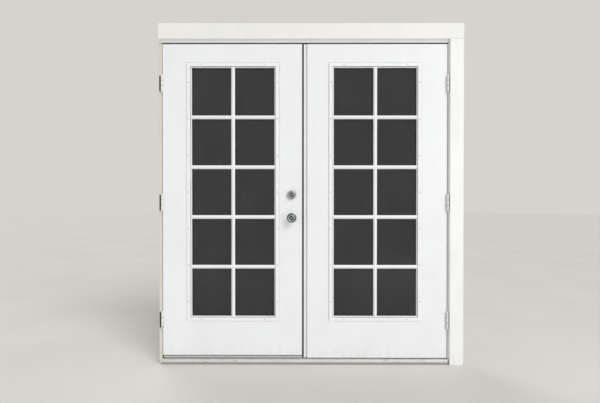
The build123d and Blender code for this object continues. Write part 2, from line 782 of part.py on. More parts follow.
def deadbolt_pocket():
    """Pocket for the deadbolt."""
    return strike_pocket(DEADBOLT_Z, BOLT_HALF_WIDTH, BOLT_HALF_HEIGHT, BOLT_THROW)


def flush_bolt(end, direction):
    """Square bolt with its thumb piece, drawn back into one end of the astragal."""
    y = MID_THICKNESS
    tip = end - direction * FLUSH_BOLT_SETBACK
    tail = tip - direction * FLUSH_BOLT_LENGTH
    low = tail + direction * THUMB_FROM_TAIL
    x0 = FLUSH_BOLT_X - FLUSH_BOLT_HALF_WIDTH
    x1 = FLUSH_BOLT_X + FLUSH_BOLT_HALF_WIDTH
    bolt = block(x0, x1, y - FLUSH_BOLT_HALF_DEPTH, y + FLUSH_BOLT_HALF_DEPTH, tail, tip)
    thumb = (ASTRAGAL_EDGE + THUMB_INSET, x1, y - THUMB_HALF_WIDTH, y + THUMB_HALF_WIDTH)
    return bolt + block(*thumb, low, low + direction * THUMB_HEIGHT)


def flush_bolt_channel(end, direction):
    """Room in the astragal for a flush bolt over its whole travel."""
    y = MID_THICKNESS
    gap = SLIDE_CLEARANCE
    tail = end - direction * (FLUSH_BOLT_SETBACK + FLUSH_BOLT_LENGTH)
    low = tail + direction * THUMB_FROM_TAIL
    high = low + direction * (THUMB_HEIGHT + FLUSH_BOLT_THROW)
    x0 = FLUSH_BOLT_X - FLUSH_BOLT_HALF_WIDTH - gap
    x1 = FLUSH_BOLT_X + FLUSH_BOLT_HALF_WIDTH + gap
    depth = FLUSH_BOLT_HALF_DEPTH + gap
    width = THUMB_HALF_WIDTH + gap
    channel = block(x0, x1, y - depth, y + depth, tail - direction * gap, end)
    slot = (ASTRAGAL_EDGE, x1, y - width, y + width)
    return channel + block(*slot, low - direction * gap, high + direction * gap)


def astragal():
    """Strip fixed to the right leaf that fills the seam, with a rounded outer corner,
    a groove beside the leaf, pockets for the bolts and channels for the flush bolts."""
    groove = ASTRAGAL_FRONT + ASTRAGAL_GROOVE_DEPTH
    outline = [
        (ASTRAGAL_EDGE, ASTRAGAL_FRONT),
        (ASTRAGAL_GROOVE_EDGE, ASTRAGAL_FRONT),
        (ASTRAGAL_GROOVE_EDGE + ASTRAGAL_GROOVE_SLOPE, groove),
        (MEETING_EDGE, groove),
        (MEETING_EDGE, LEAF_THICKNESS),
        (ASTRAGAL_EDGE, LEAF_THICKNESS),
    ]
    strip = run_up(outline, RIGHT_LEAF_BOTTOM, LEAF_TOP)
    corner = strip.edges().filter_by(Axis.Z).group_by(Axis.X)[0].sort_by(Axis.Y)[0]
    strip = fillet(corner, ASTRAGAL_ROUND)
    root = ASTRAGAL_EDGE + SEAM_SEAL_ROOT
    kerf = (ASTRAGAL_EDGE, root, SEAM_SEAL_FRONT, SEAM_SEAL_BACK)
    strip -= block(*kerf, RIGHT_LEAF_BOTTOM, LEAF_TOP)
    strip -= [latch_pocket(), deadbolt_pocket(), strike_plate(KNOB_Z), strike_plate(DEADBOLT_Z)]
    strip -= flush_bolt_channel(LEAF_TOP, 1)
    return strip - flush_bolt_channel(RIGHT_LEAF_BOTTOM, -1)


def astragal_seal():
    """Soft bulb in the astragal's kerf that meets the edge of the active leaf."""
    tip = ASTRAGAL_EDGE - SEAM_SEAL_REACH
    root = ASTRAGAL_EDGE + SEAM_SEAL_ROOT
    strip = block(tip, root, SEAM_SEAL_FRONT, SEAM_SEAL_BACK, RIGHT_LEAF_BOTTOM, LEAF_TOP)
    return chamfer(strip.edges().filter_by(Axis.Z).group_by(Axis.X)[0], BULB_CHAMFER)


# Node list


def leaf_parts(leaf):
    """Every piece that both leaves have, under its node name."""
    outside = outside_face(leaf)
    inside = inside_face(leaf)
    rise = LITE_HEIGHT / 2 - CUTOUT_MARGIN
    return {
        "outer_skin": skin(leaf, 0),
        "inner_skin": skin(leaf, CORE_BACK),
        "hinge_stile": hinge_stile(leaf),
        "meeting_stile": meeting_stile(leaf),
        "top_rail": core_rail(leaf, LITE_CENTRE_Z + rise, LEAF_TOP),
        "bottom_rail": core_rail(leaf, leaf.bottom, LITE_CENTRE_Z - rise),
        "outer_lite_frame": lite_frame(outside),
        "outer_grille": grille(outside),
        "inner_lite_frame": lite_frame(inside),
        "inner_grille": grille(inside),
        "glass_panes": glass_panes(leaf),
        "pane_spacer": pane_spacer(leaf),
        "hinge_plates": leaf_hinge_plates(leaf),
        "door_sweep": sweep_seal(leaf),
    }


def frame_parts():
    """Every piece that stays with the wall."""
    return {
        "left_jamb": side_jamb(-1),
        "right_jamb": side_jamb(1),
        "head_jamb": head_jamb(),
        "head_casing": head_casing(),
        "right_casing": right_casing(),
        "sill_base": sill_base(),
        "sill_cover": sill_cover(),
        "sill_gasket": sill_gasket(),
        "frame_seals": frame_seals(),
        "head_strike": head_strike(),
        "jamb_hinge_plates": jamb_hinge_plates(),
    }


def lock_parts():
    """Knob, latch and deadbolt of the active leaf."""
    return {
        "lock_roses": lock_roses(),
        "knobs": knobs(),
        "knob_spindle": knob_spindle(),
        "knob_key_plug": knob_key_plug(),
        "turn_button": turn_button(),
        "latch_case": latch_case(),
        "latch_bolt": latch_bolt(),
        "deadbolt_collar": deadbolt_collar(),
        "deadbolt_key_plug": deadbolt_key_plug(),
        "deadbolt_thumbturn": deadbolt_thumbturn(),
        "deadbolt_case": deadbolt_case(),
        "deadbolt": deadbolt(),
    }


def astragal_parts():
    """Astragal, its seal, strikes and flush bolts on the right leaf."""
    return {
        "astragal": astragal(),
        "astragal_seal": astragal_seal(),
        "latch_strike": strike_plate(KNOB_Z) - latch_pocket(),
        "deadbolt_strike": strike_plate(DEADBOLT_Z) - deadbolt_pocket(),
        "top_flush_bolt": flush_bolt(LEAF_TOP, 1),
        "bottom_flush_bolt": flush_bolt(RIGHT_LEAF_BOTTOM, -1),
    }


nodes = frame_parts() | lock_parts() | astragal_parts()
for each in LEAVES:
    for piece, shape in leaf_parts(each).items():
        nodes[f"{each.name}_{piece}"] = shape

os.makedirs("parts", exist_ok=True)
for name, shape in nodes.items():
    export_step(shape, f"parts/{name}.step")
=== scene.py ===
import logging
import math
from dataclasses import dataclass
from enum import Enum
from functools import cached_property
from typing import Iterable, Mapping, Optional, Sequence, Union

import bmesh
import bpy
from mathutils import Matrix, Vector


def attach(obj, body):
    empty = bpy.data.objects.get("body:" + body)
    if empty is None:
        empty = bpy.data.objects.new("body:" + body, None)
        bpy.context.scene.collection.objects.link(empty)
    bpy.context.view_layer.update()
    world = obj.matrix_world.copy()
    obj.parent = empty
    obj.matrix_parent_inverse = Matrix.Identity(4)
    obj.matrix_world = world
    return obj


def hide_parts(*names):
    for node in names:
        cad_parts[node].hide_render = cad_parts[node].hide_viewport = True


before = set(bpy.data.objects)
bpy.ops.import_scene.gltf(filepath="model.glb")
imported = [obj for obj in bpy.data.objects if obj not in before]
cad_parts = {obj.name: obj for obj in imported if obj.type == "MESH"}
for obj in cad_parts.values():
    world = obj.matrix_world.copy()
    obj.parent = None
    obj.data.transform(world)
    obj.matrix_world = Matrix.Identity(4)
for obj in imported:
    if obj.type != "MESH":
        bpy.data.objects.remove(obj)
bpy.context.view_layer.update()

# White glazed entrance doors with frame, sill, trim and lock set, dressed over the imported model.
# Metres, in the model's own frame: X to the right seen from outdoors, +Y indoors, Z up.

log = logging.getLogger("french_doors")

MM = 0.001
HINGE_HEIGHTS_MM = (287.0, 1050.5, 1822.0)
HINGE_JOINTS_MM = tuple(z + rise for z in HINGE_HEIGHTS_MM for rise in (-16.9, 16.9))
# half the width and height of a lite frame, the height of its middle, and its two places along X
LITE_MM = (300.0, 838.0)
LITE_Z_MM = 1118.0
LITES_MM = (-465.5, 456.5)
LEAF_MM = 44.5
LOCK_MM = -85.5
KNOB_Z_MM = 951.0
DEADBOLT_Z_MM = 1101.0
# Y and Z of the screws in hinges, and in faceplates and strikes
HINGE_PATTERN_MM = ((14.0, -36.0), (24.0, 0.0), (14.0, 36.0))
HINGE_SCREWS_MM = [(y, z + rise) for z in HINGE_HEIGHTS_MM for y, rise in HINGE_PATTERN_MM]
PLATE_SCREWS_MM = [
    (LEAF_MM / 2, z + rise) for z in (KNOB_Z_MM, DEADBOLT_Z_MM) for rise in (-21.5, 21.5)
]

# outlines of turned parts: radius, height and rounding of each corner
HINGE_TIP_MM = (
    (0, -0.2, 0), (7.3, -0.2, 0), (7.3, 1.0, 0.4), (5.9, 1.6, 0.5), (6.5, 4.2, 1.6),
    (3.3, 6.2, 1.6), (0, 6.3, 0),
)
SCREW_COVER_MM = ((4.5, -0.2, 0), (4.5, 0.5, 0.3), (3.5, 0.7, 0.3), (2.7, 0.15, 0.4), (0, 0.05, 0))
KNOB_MM = (
    (5.0, 6.3, 0), (10.0, 6.3, 0), (10.0, 33.0, 3.0), (15.0, 34.0, 2.0), (23.0, 34.6, 1.5),
    (25.0, 39.0, 3.0), (24.6, 54.0, 3.4), (19.5, 58.0, 2.4), (17.5, 57.6, 0.8), (13.5, 54.4, 1.2),
    (9.5, 54.0, 0.8), (8.7, 57.4, 0.8), (7.5, 58.0, 0.5), (6.1, 58.0, 0.3), (6.1, 45.7, 0),
    (0, 45.7, 0),
)
ROSE_MM = (
    (8.2, 0, 0), (31.5, 0, 0), (31.5, 2.2, 0.8), (29.9, 3.0, 0.6), (27.0, 6.0, 2.4),
    (13.0, 6.0, 0.8), (12.0, 5.4, 0.4), (8.2, 5.4, 0), (8.2, 0, 0),
)
COLLAR_MM = (
    (6.1, 0, 0), (27.0, 0, 0), (27.0, 2.4, 0.8), (25.6, 3.4, 0.6), (24.4, 15.4, 1.2),
    (22.6, 17.0, 1.2), (15.6, 17.0, 1.0), (14.2, 13.0, 0.6), (8.3, 13.0, 0.4), (7.9, 16.4, 0.5),
    (6.1, 16.8, 0), (6.1, 0, 0),
)
CYLINDER_MM = (
    (8.4, 13.05, 0), (14.1, 13.05, 0), (14.1, 13.25, 0), (8.4, 13.25, 0), (8.4, 13.05, 0),
)
PLUG_RADIUS_MM = 6.0
# a keyway's slot and its two wards: from and to along X, then along Z, and how deep they are
KEYWAY_MM = ((-0.9, 0.9, -4.2, 3.4), (-1.7, -0.5, -3.0, -1.6), (0.5, 1.7, 0.4, 1.8))
KEYWAY_DEPTH_MM = 5.0
# opposite corners of the wards inside a plug, from the middle of its face
WARDS_MM = ((-1.2, 3.6, -3.9), (1.2, 4.4, 3.1))

# the most of a straight run that the rounding at one end of it may take
ROUNDED_SHARE = 0.49
CRISP_ANGLE = math.radians(32)
EASED_ANGLE = math.radians(40)
JOINED_MM = 0.001
WELDED_MM = 0.005

Socket = bpy.types.NodeSocket
Colour = tuple[float, float, float, float]
Source = Union[bpy.types.Node, Socket, float, Sequence[float]]
Triple = tuple[float, float, float]
Limits = tuple[float, float]
Corners = Sequence[Triple]
Seat = tuple[Vector, Vector]


def linear(colour: str) -> Colour:
    """Turns an sRGB hex colour into the linear values that shaders take.

    Args:
        colour: Six hex digits, with or without a leading hash sign.

    Returns:
        Red, green, blue and an alpha of one.
    """
    digits = colour.lstrip("#")
    shares = [int(digits[i : i + 2], 16) / 255 for i in (0, 2, 4)]
    flat = [s / 12.92 if s <= 0.04045 else ((s + 0.055) / 1.055) ** 2.4 for s in shares]
    return flat[0], flat[1], flat[2], 1.0


def add_node(
    tree: bpy.types.NodeTree,
    kind: str,
    inputs: Union[Mapping[Union[str, int], Source], Sequence[Source]] = (),
    **settings: object,
) -> bpy.types.Node:
    """Adds one node with its settings, input values and links.

    Args:
        tree: The node tree that gets the node.
        kind: Blender's name for the kind of node.
        inputs: What each input takes, by name or number or in order: a plain value, an output
            of another node, or a node in place of its first output.
        **settings: Properties of the node itself.

    Returns:
        The new node.
    """
    node = tree.nodes.new(kind)
    for key, value in settings.items():
        setattr(node, key, value)
    for key, source in inputs.items() if isinstance(inputs, Mapping) else enumerate(inputs):
        if isinstance(source, bpy.types.Node):
            source = source.outputs[0]
        if isinstance(source, Socket):
            tree.links.new(source, node.inputs[key])
        else:
            node.inputs[key].default_value = source
    return node


class Surface:
    """A material in the making, with patterns that are laid out in metres on the object."""

    def __init__(self, name: str) -> None:
        """Starts an empty material.

        Args:
            name: Name of the material.
        """
        self.material = bpy.data.materials.new(name)
        self.material.use_nodes = True
        self.tree = self.material.node_tree
        self.tree.nodes.clear()
        self.place = add_node(self.tree, "ShaderNodeTexCoord").outputs["Object"]

    @cached_property
    def axes(self) -> Mapping[str, Socket]:
        """The place of each point along X, Y and Z, in metres."""
        return add_node(self.tree, "ShaderNodeSeparateXYZ", (self.place,)).outputs

    def combined(self, operation: str, *parts: Source) -> Source:
        """Brings several values to one, such as their product or the greatest of them.

        Args:
            operation: Blender's name for the way two values are combined.
            *parts: The values.

        Returns:
            What gives the result.
        """
        whole = parts[0]
        for part in parts[1:]:
            whole = add_node(self.tree, "ShaderNodeMath", (whole, part), operation=operation)
        return whole

    def distance(self, axis: str, middle_mm: float) -> bpy.types.Node:
        """How far each point is from a fixed place along an axis, in metres."""
        offset = self.combined("SUBTRACT", self.axes[axis], middle_mm * MM)
        return add_node(self.tree, "ShaderNodeMath", (offset,), operation="ABSOLUTE")


@dataclass(frozen=True)
class Clouds:
    """A cloudy pattern between 0 and 1, with the size of one cloud along X, Y and Z."""

    size_mm: Triple
    detail: float = 2.0

    def node(self, surface: Surface) -> bpy.types.Node:
        """Adds the pattern to a material.

        Args:
            surface: The material in the making.

        Returns:
            The node that gives the pattern.
        """
        layout = {"Vector": surface.place, "Scale": [1 / (size * MM) for size in self.size_mm]}
        laid = add_node(surface.tree, "ShaderNodeMapping", layout)
        inputs = {"Vector": laid, "Scale": 1.0, "Detail": self.detail}
        return add_node(surface.tree, "ShaderNodeTexNoise", inputs)


@dataclass(frozen=True)
class Cells:
    """A pattern of cells that rises from the middle of each cell, with the size of one cell."""

    size_mm: float

    def node(self, surface: Surface) -> bpy.types.Node:
        """Adds the pattern to a material."""
        layout = {"Vector": surface.place, "Scale": 1 / (self.size_mm * MM)}
        return add_node(surface.tree, "ShaderNodeTexVoronoi", layout)


@dataclass(frozen=True)
class Patches:
    """Soft patches: the limits are a pattern's values, and the shares what is covered there."""

    pattern: Union[Clouds, Cells]
    limits: Limits
    shares: Limits = (0.0, 1.0)

    def share(self, surface: Surface) -> bpy.types.Node:
        """How much of the surface the patches cover at each point."""
        inputs = (self.pattern.node(surface), *self.limits, *self.shares)
        return add_node(surface.tree, "ShaderNodeMapRange", inputs)


Marks = tuple[Patches, ...]
Palette = tuple[str, ...]


@dataclass(frozen=True)
class Zone:
    """The points whose place along an axis lies between soft limits.

    With middles, the place is the distance from the nearest of them. Outside the zone the
    share is the least one.
    """

    axis: str = ""
    rise_mm: Optional[Limits] = None
    fall_mm: Optional[Limits] = None
    middles_mm: tuple[float, ...] = ()
    least: float = 0.0

    def measure(self, surface: Surface) -> Source:
        """What the limits apply to.

        Args:
            surface: The material in the making.

        Returns:
            What gives the place of each point, in metres.
        """
        if self.middles_mm:
            away = (surface.distance(self.axis, middle_mm) for middle_mm in self.middles_mm)
            return surface.combined("MINIMUM", *away)
        return surface.axes[self.axis]

    def share(self, surface: Surface) -> Source:
        """How far each point belongs to the zone.

        Args:
            surface: The material in the making.

        Returns:
            What gives a share of up to 1.
        """
        measure = self.measure(surface)
        ends = []
        rise, fall = (self.rise_mm, (self.least, 1.0)), (self.fall_mm, (1.0, self.least))
        for limits_mm, shares in (rise, fall):
            if limits_mm:
                inputs = (measure, *(limit * MM for limit in limits_mm), *shares)
                ends.append(add_node(surface.tree, "ShaderNodeMapRange", inputs))
        return surface.combined("MULTIPLY", *ends)


@dataclass(frozen=True)
class Ring(Zone):
    """The points at a distance between two limits from the axis of a turned lock part."""

    z_mm: float = 0.0

    def measure(self, surface: Surface) -> Source:
        """How far each point is from the part's axis.

        Args:
            surface: The material in the making.

        Returns:
            What gives the distance, in metres.
        """
        tree, kind = surface.tree, "ShaderNodeVectorMath"
        middle = (LOCK_MM * MM, 0.0, self.z_mm * MM)
        offset = add_node(tree, kind, (surface.place, middle), operation="SUBTRACT")
        flat = add_node(tree, kind, (offset, (1.0, 0.0, 1.0)), operation="MULTIPLY")
        return add_node(tree, kind, (flat,), operation="LENGTH").outputs["Value"]


@dataclass(frozen=True)
class Border(Zone):
    """The points between two lines round a lite frame, measured outwards from its edge."""

    x_mm: float = 0.0

    def measure(self, surface: Surface) -> Source:
        """How far each point is outside the lite frame's edge.

        Args:
            surface: The material in the making.

        Returns:
            What gives the distance, in metres.
        """
        spans = zip("XZ", (self.x_mm, LITE_Z_MM), LITE_MM)
        beyond = (
            surface.combined("SUBTRACT", surface.distance(axis, middle_mm), half_mm * MM)
            for axis, middle_mm, half_mm in spans
        )
        return surface.combined("MAXIMUM", *beyond)


@dataclass(frozen=True)
class Layer:
    """Dirt, tarnish and painted shade that lie where all of a layer's zones overlap, thinned out by
    its patches.
    """

    colour: str
    strength: float
    zones: tuple[Zone, ...]
    patches: Optional[Patches] = None

    def share(self, surface: Surface) -> Source:
        """How much of the surface it covers at each point.

        Args:
            surface: The material in the making.

        Returns:
            What gives the share, between 0 and 1.
        """
        shares = [zone.share(surface) for zone in self.zones]
        if self.patches:
            shares.append(self.patches.share(surface))
        return surface.combined("MULTIPLY", *shares, self.strength)


class By(Enum):
    """What an uneven value of a shader follows."""

    RELIEF = "relief"
    FIRST_MARK = "first mark"
    LAST_MARK = "last mark"
    ALL_MARKS = "greatest of all marks"


@dataclass(frozen=True)
class Uneven:
    """A value of a shader that goes from one end to the other as a pattern does."""

    ends: Limits
    by: By = By.FIRST_MARK
    limits: Limits = (0.0, 1.0)


@dataclass(frozen=True)
class Finish:
    """What a surface is made of, how it was made and what lies on it.

    The first colour is the surface's own. The others are those of its marks, in order.
    """

    name: str
    colours: Palette = ()
    marks: Marks = ()
    layers: tuple[Layer, ...] = ()
    relief: Union[Clouds, Cells] = Clouds((1.0, 1.0, 1.0))
    depth_mm: float = 0.05
    roughness: Union[float, Uneven] = 0.5
    metallic: Union[float, Uneven] = 0.0
    transmission: Union[float, Uneven] = 0.0
    ior: float = 1.5

    def material(self) -> bpy.types.Material:
        """The finish's material, made on first use and then shared.

        Returns:
            The material.
        """
        if self.name in bpy.data.materials:
            return bpy.data.materials[self.name]
        surface = Surface(self.name)
        tree = surface.tree
        relief = self.relief.node(surface)
        shares = [mark.share(surface) for mark in self.marks]
        followed = {
            By.RELIEF: [relief],
            By.FIRST_MARK: shares[:1],
            By.LAST_MARK: shares[-1:],
            By.ALL_MARKS: shares,
        }
        colour: Source = linear(self.colours[0])
        covers = [*zip(shares, self.colours[1:])]
        covers += [(layer.share(surface), layer.colour) for layer in self.layers]
        for share, over in covers:
            inputs = {"Factor": share, 6: colour, 7: linear(over)}
            colour = add_node(tree, "ShaderNodeMix", inputs, data_type="RGBA").outputs[2]
        looks: dict[str, Source] = {"Base Color": colour, "IOR": self.ior}
        uneven = {
            "Roughness": self.roughness,
            "Metallic": self.metallic,
            "Transmission Weight": self.transmission,
        }
        for key, value in uneven.items():
            if isinstance(value, Uneven):
                whole = surface.combined("MAXIMUM", *followed[value.by])
                inputs = (whole, *value.limits, *value.ends)
                value = add_node(tree, "ShaderNodeMapRange", inputs)
            looks[key] = value
        height = {"Height": relief, "Strength": 1.0, "Distance": self.depth_mm * MM}
        looks["Normal"] = add_node(tree, "ShaderNodeBump", height)
        shader = add_node(tree, "ShaderNodeBsdfPrincipled", looks)
        add_node(tree, "ShaderNodeOutputMaterial", (shader,))
        return surface.material


# shares of the duller patches on nickel, and of the dust on matt compounds
DULLING = (0.0, 0.8)
DUSTING = (0.0, 0.7)


@dataclass(frozen=True)
class BrushedEnamel(Finish):
    """White exterior enamel brushed onto milled timber.

    The brush leaves long soft ridges, which break a highlight into streaks, and the paint has
    yellowed a little in patches.
    """

    colours: Palette = ("#F2F4F4", "#EAEBE8")
    # patches as wide as a hand where the paint has aged
    marks: Marks = (Patches(Clouds((143.0, 143.0, 200.0), 3.0), (0.45, 0.75), (0.0, 0.55)),)
    # real bristle marks are under 1 mm apart, drawn 3 mm apart so that they show
    relief: Clouds = Clouds((3.0, 3.0, 240.0), 3.0)
    roughness: Uneven = Uneven((0.36, 0.50), By.RELIEF, (0.3, 0.7))
    ior: float = 1.48


@dataclass(frozen=True)
class SprayedSkin(Finish):
    """White enamel sprayed onto a smooth fibreglass door skin.

    Spraying leaves a faint orange peel, so the sheen is broken but has no direction.
    """

    colours: Palette = ("#F2F4F6", "#E9EBEB")
    marks: Marks = (Patches(Clouds((250.0, 250.0, 333.0), 4.0), (0.45, 0.8), (0.0, 0.6)),)
    # orange peel is 1 to 2 mm across, drawn at 5 mm so that it shows
    relief: Clouds = Clouds((5.0, 5.0, 5.0), 1.0)
    depth_mm: float = 0.03
    roughness: Uneven = Uneven((0.36, 0.46), limits=(0.0, 0.6))
    ior: float = 1.48


@dataclass(frozen=True)
class MouldedPlastic(Finish):
    """Exterior grade polypropylene, injection moulded in a finely textured tool.

    It has an even satin sheen with a fine grain, and dust clings to it in a film and in specks.
    """

    colours: Palette = ("#F4F6F8", "#CFCFCB", "#CFCFCB")
    # the specks are one mark of 2 to 3 mm in each cell of 60 mm
    marks: Marks = (
        Patches(Clouds((83.3, 83.3, 83.3), 4.0), (0.5, 0.8), (0.0, 0.18)),
        Patches(Cells(60.0), (0.02, 0.06), (0.8, 0.0)),
    )
    # the tool's grain is about 0.3 mm, drawn at 2.5 mm so that it shows
    relief: Clouds = Clouds((2.5, 2.5, 2.5))
    depth_mm: float = 0.02
    roughness: Uneven = Uneven((0.38, 0.53), limits=(0.0, 0.18))
    ior: float = 1.49


@dataclass(frozen=True)
class SolarFloatGlass(Finish):
    """Grey body-tinted float glass in a sealed unit.

    Two panes let little light through, so the unit looks near black and mirrors what faces it,
    with a slight waviness from the float bath.
    """

    colours: Palette = ("#6A6E70",)
    # wiping leaves a clear film in streaks as wide as a hand, and rain leaves runs 20 mm wide
    marks: Marks = (
        Patches(Clouds((111.0, 111.0, 333.0), 4.0), (0.4, 0.75)),
        Patches(Clouds((20.0, 20.0, 250.0), 3.0), (0.5, 0.8), (0.0, 0.6)),
    )
    relief: Clouds = Clouds((160.0, 160.0, 160.0), 0.0)
    depth_mm: float = 0.03
    roughness: Uneven = Uneven((0.02, 0.07), By.ALL_MARKS)
    transmission: Uneven = Uneven((1.0, 0.93), By.ALL_MARKS)
    ior: float = 1.52


@dataclass(frozen=True)
class SatinNickel(Finish):
    """Brass plated with nickel and brushed to a satin.

    The brushing spreads each highlight and leaves short fine scratches. Handling has dulled it
    to a darker grey in patches.
    """

    colours: Palette = ("#DCDCD8", "#A5A6A1")
    marks: Marks = (Patches(Clouds((11.11, 11.11, 11.11), 4.0), (0.42, 0.75), DULLING),)
    # brushing lines are 0.1 mm apart, drawn at 0.8 mm so that they show
    relief: Clouds = Clouds((9.6, 0.8, 0.8))
    depth_mm: float = 0.01
    roughness: Uneven = Uneven((0.24, 0.44), limits=DULLING)
    metallic: float = 1.0


@dataclass(frozen=True)
class ZincPlatedSteel(Finish):
    """Pressed steel with a bright zinc plating, slightly spangled and scuffed where parts rub."""

    colours: Palette = ("#BFC1BE", "#85857F")
    marks: Marks = (Patches(Clouds((16.67, 16.67, 40.0), 5.0), (0.45, 0.7), (0.0, 0.9)),)
    relief: Cells = Cells(6.0)
    depth_mm: float = 0.02
    roughness: Uneven = Uneven((0.28, 0.46), By.RELIEF, (0.0, 0.8))
    metallic: float = 1.0


@dataclass(frozen=True)
class PaintedSteel(Finish):
    """Rolled steel hinge leaves, painted over together with the woodwork.

    The brushed paint is thick and soft at the edges, and has chipped to bare steel here and there.
    """

    colours: Palette = ("#E8E7E3", "#6B675E")
    marks: Marks = (Patches(Clouds((14.0, 14.0, 14.0), 5.0), (0.64, 0.67)),)
    # real bristle marks are under 1 mm apart, drawn 1.6 mm apart so that they show
    relief: Clouds = Clouds((1.6, 1.6, 30.0))
    roughness: Uneven = Uneven((0.35, 0.50), By.RELIEF, (0.3, 0.7))
    metallic: Uneven = Uneven((0.0, 0.7))
    ior: float = 1.48


@dataclass(frozen=True)
class WeatheredAluminium(Finish):
    """Mill finish aluminium, extruded or rolled and left outdoors.

    Drawing lines run along it, oxide has turned it a chalky grey, and grit from shoes has
    darkened it in smears.
    """

    colours: Palette = ("#E2E3E1", "#D3D4D0", "#8A8377")
    marks: Marks = (
        Patches(Clouds((90.9, 25.0, 25.0), 5.0), (0.35, 0.65), (0.1, 0.9)),
        Patches(Clouds((62.5, 16.67, 16.67), 6.0), (0.56, 0.8), (0.0, 0.8)),
    )
    # drawing lines are 0.2 mm apart, drawn at 2 mm so that they show
    relief: Clouds = Clouds((400.0, 2.0, 2.0))
    depth_mm: float = 0.03
    roughness: Uneven = Uneven((0.40, 0.60), limits=(0.1, 0.9))
    metallic: Uneven = Uneven((0.3, 0.0), By.LAST_MARK)


@dataclass(frozen=True)
class MattCompound(Finish):
    """Rubber, vinyl and wood composite, and the painted shade inside a keyway.

    All of them have a matt skin without a clear highlight, paler where dust has settled.
    """

    marks: Marks = (Patches(Clouds((16.67, 16.67, 33.33), 5.0), (0.45, 0.8), DUSTING),)
    # the pores are about 0.2 mm, drawn at 1.1 mm so that they show
    relief: Clouds = Clouds((1.111, 1.111, 1.111), 1.0)
    roughness: Uneven = Uneven((0.60, 0.75), limits=DUSTING)


@dataclass(frozen=True)
class PaleConcrete(Finish):
    """A trowelled pale floor for the studio, with a soft cloud and fine grit."""

    colours: Palette = ("#DEDCD6", "#CFCCC4")
    marks: Marks = (Patches(Clouds((769.2, 769.2, 769.2), 6.0), (0.35, 0.75), (0.0, 0.35)),)
    relief: Clouds = Clouds((6.25, 6.25, 6.25), 3.0)
    depth_mm: float = 0.2
    roughness: float = 0.85


# the clouding of settled dirt and of painted shade in gaps, and the gaps that wiping leaves in a
# line of it
CLOUDED = Patches(Clouds((40.0, 40.0, 111.0), 4.0), (0.3, 0.6), (0.93, 1.0))
WIPED = Patches(Clouds((111.0, 111.0, 111.0), 3.0), (0.35, 0.65), (0.6, 1.0))
# splashes about 30 mm across, drawn out upwards
SPLASHED = Patches(Clouds((29.4, 29.4, 71.4), 5.0), (0.42, 0.72), (0.15, 1.0))


def settled(strength: float, *zones: Zone, colour: str = "#1F1E1C") -> Layer:
    """Clouded colour where two parts meet: dirt out of reach of a cloth, and painted shade in gaps.
    """
    return Layer(colour, strength, zones, CLOUDED)


def lite_line(lite_mm: float, edges_mm: Limits, foot_share: float) -> Layer:
    """A thin line of dirt and painted shade along the border of a lite frame.

    Args:
        lite_mm: The middle of the lite along X.
        edges_mm: The line's two edges, outwards from the lite frame's edge.
        foot_share: How much of the line is left at the foot.

    Returns:
        The layer.
    """
    inner, outer = edges_mm
    soft = 0.3
    border = Border(rise_mm=(inner - soft, inner), fall_mm=(outer, outer + soft), x_mm=lite_mm)
    height = Zone("Z", (LITE_Z_MM - LITE_MM[1], LITE_Z_MM + LITE_MM[1]), least=foot_share)
    return Layer("#55534A", 0.95, (border, height), WIPED)


GRIME = Layer("#A39E94", 0.22, (Zone("Z", fall_mm=(20.0, 140.0)),), SPLASHED)
# near-black painted shade inside the gaps round the leaves: in the rabbets, on the leaves' and
# skins' edges and on the astragal's side
RABBET_PAINTED_SHADE = settled(0.98, Zone("Y", (0.3, 1.6), (49.0, 50.0)))
THIN_RABBET_PAINTED_SHADE = settled(0.75, Zone("Y", (0.3, 1.6), (49.0, 50.0)))
EDGE_PAINTED_SHADE = settled(0.98, Zone("Y", (0.3, 1.6), (43.0, 44.0)))
SKIN_EDGE_PAINTED_SHADE = settled(0.98, Zone("Y", (0.7, 1.5), (43.0, 44.0)))
ASTRAGAL_PAINTED_SHADE = settled(0.98, Zone("Y", (4.5, 6.0), (45.0, 46.0)), Zone("X", fall_mm=(-7.5, -6.5)))
NEAR_FRONT = Zone("Y", fall_mm=(5.0, 6.0))
# painted shade of the gap between the leaves, laid on the left leaf's skin along its meeting edge
MEETING_EDGE_PAINTED_SHADE = settled(0.88, Zone("X", (-18.9, -18.0), (-1.0, 0.0)), NEAR_FRONT)
# painted shade of the gap above the leaves, on the head jamb's lip
HEAD_LIP_PAINTED_SHADE = settled(0.85, Zone("Z", (2080.0, 2081.0), (2085.2, 2086.2)), NEAR_FRONT)
EDGE_FILM = settled(0.5, Zone("Y", (-2.0, -1.0), (1.0, 2.0)), colour="#BFB296")
# near-black painted shade along the top of each sweep, under the leaf
SWEEP_TOP_PAINTED_SHADE = settled(0.9, Zone("Z", (49.0, 51.0), (69.0, 70.0)))
# the sill's front is darker near the floor: concrete dust, with painted contact shade
SILL_FOOT_DUST_AND_SHADE = settled(0.8, Zone("Z", (-1.0, 0.0), (14.0, 15.0)), colour="#8C877D")
# near-black painted shadow that each hinge barrel casts on the front edge of a jamb
HINGE_PAINTED_SHADOW = Layer(
    "#1D1608",
    0.97,
    (
        Zone("X", (930.5, 932.0), (944.0, 946.0), (0.0,)),
        Zone("Z", fall_mm=(50.0, 52.0), middles_mm=HINGE_HEIGHTS_MM),
        Zone("Y", fall_mm=(1.0, 2.0)),
    ),
)
# painted shade on the sides of the barrels that face the jambs, and old grease in the joints
# between their knuckles, which are 0.4 mm wide and drawn 2.4 mm wide so that they show
BARREL_FLANK_PAINTED_SHADE = Layer("#34322D", 0.92, (Zone("X", (928.5, 930.0), middles_mm=(0.0,)),))
BARREL_JOINTS = Layer(
    "#34322D",
    0.7,
    (
        Zone("X", fall_mm=(928.5, 930.0), middles_mm=(0.0,)),
        Zone("Y", fall_mm=(-2.0, -1.0)),
        Zone("Z", fall_mm=(1.2, 1.8), middles_mm=HINGE_JOINTS_MM),
    ),
)
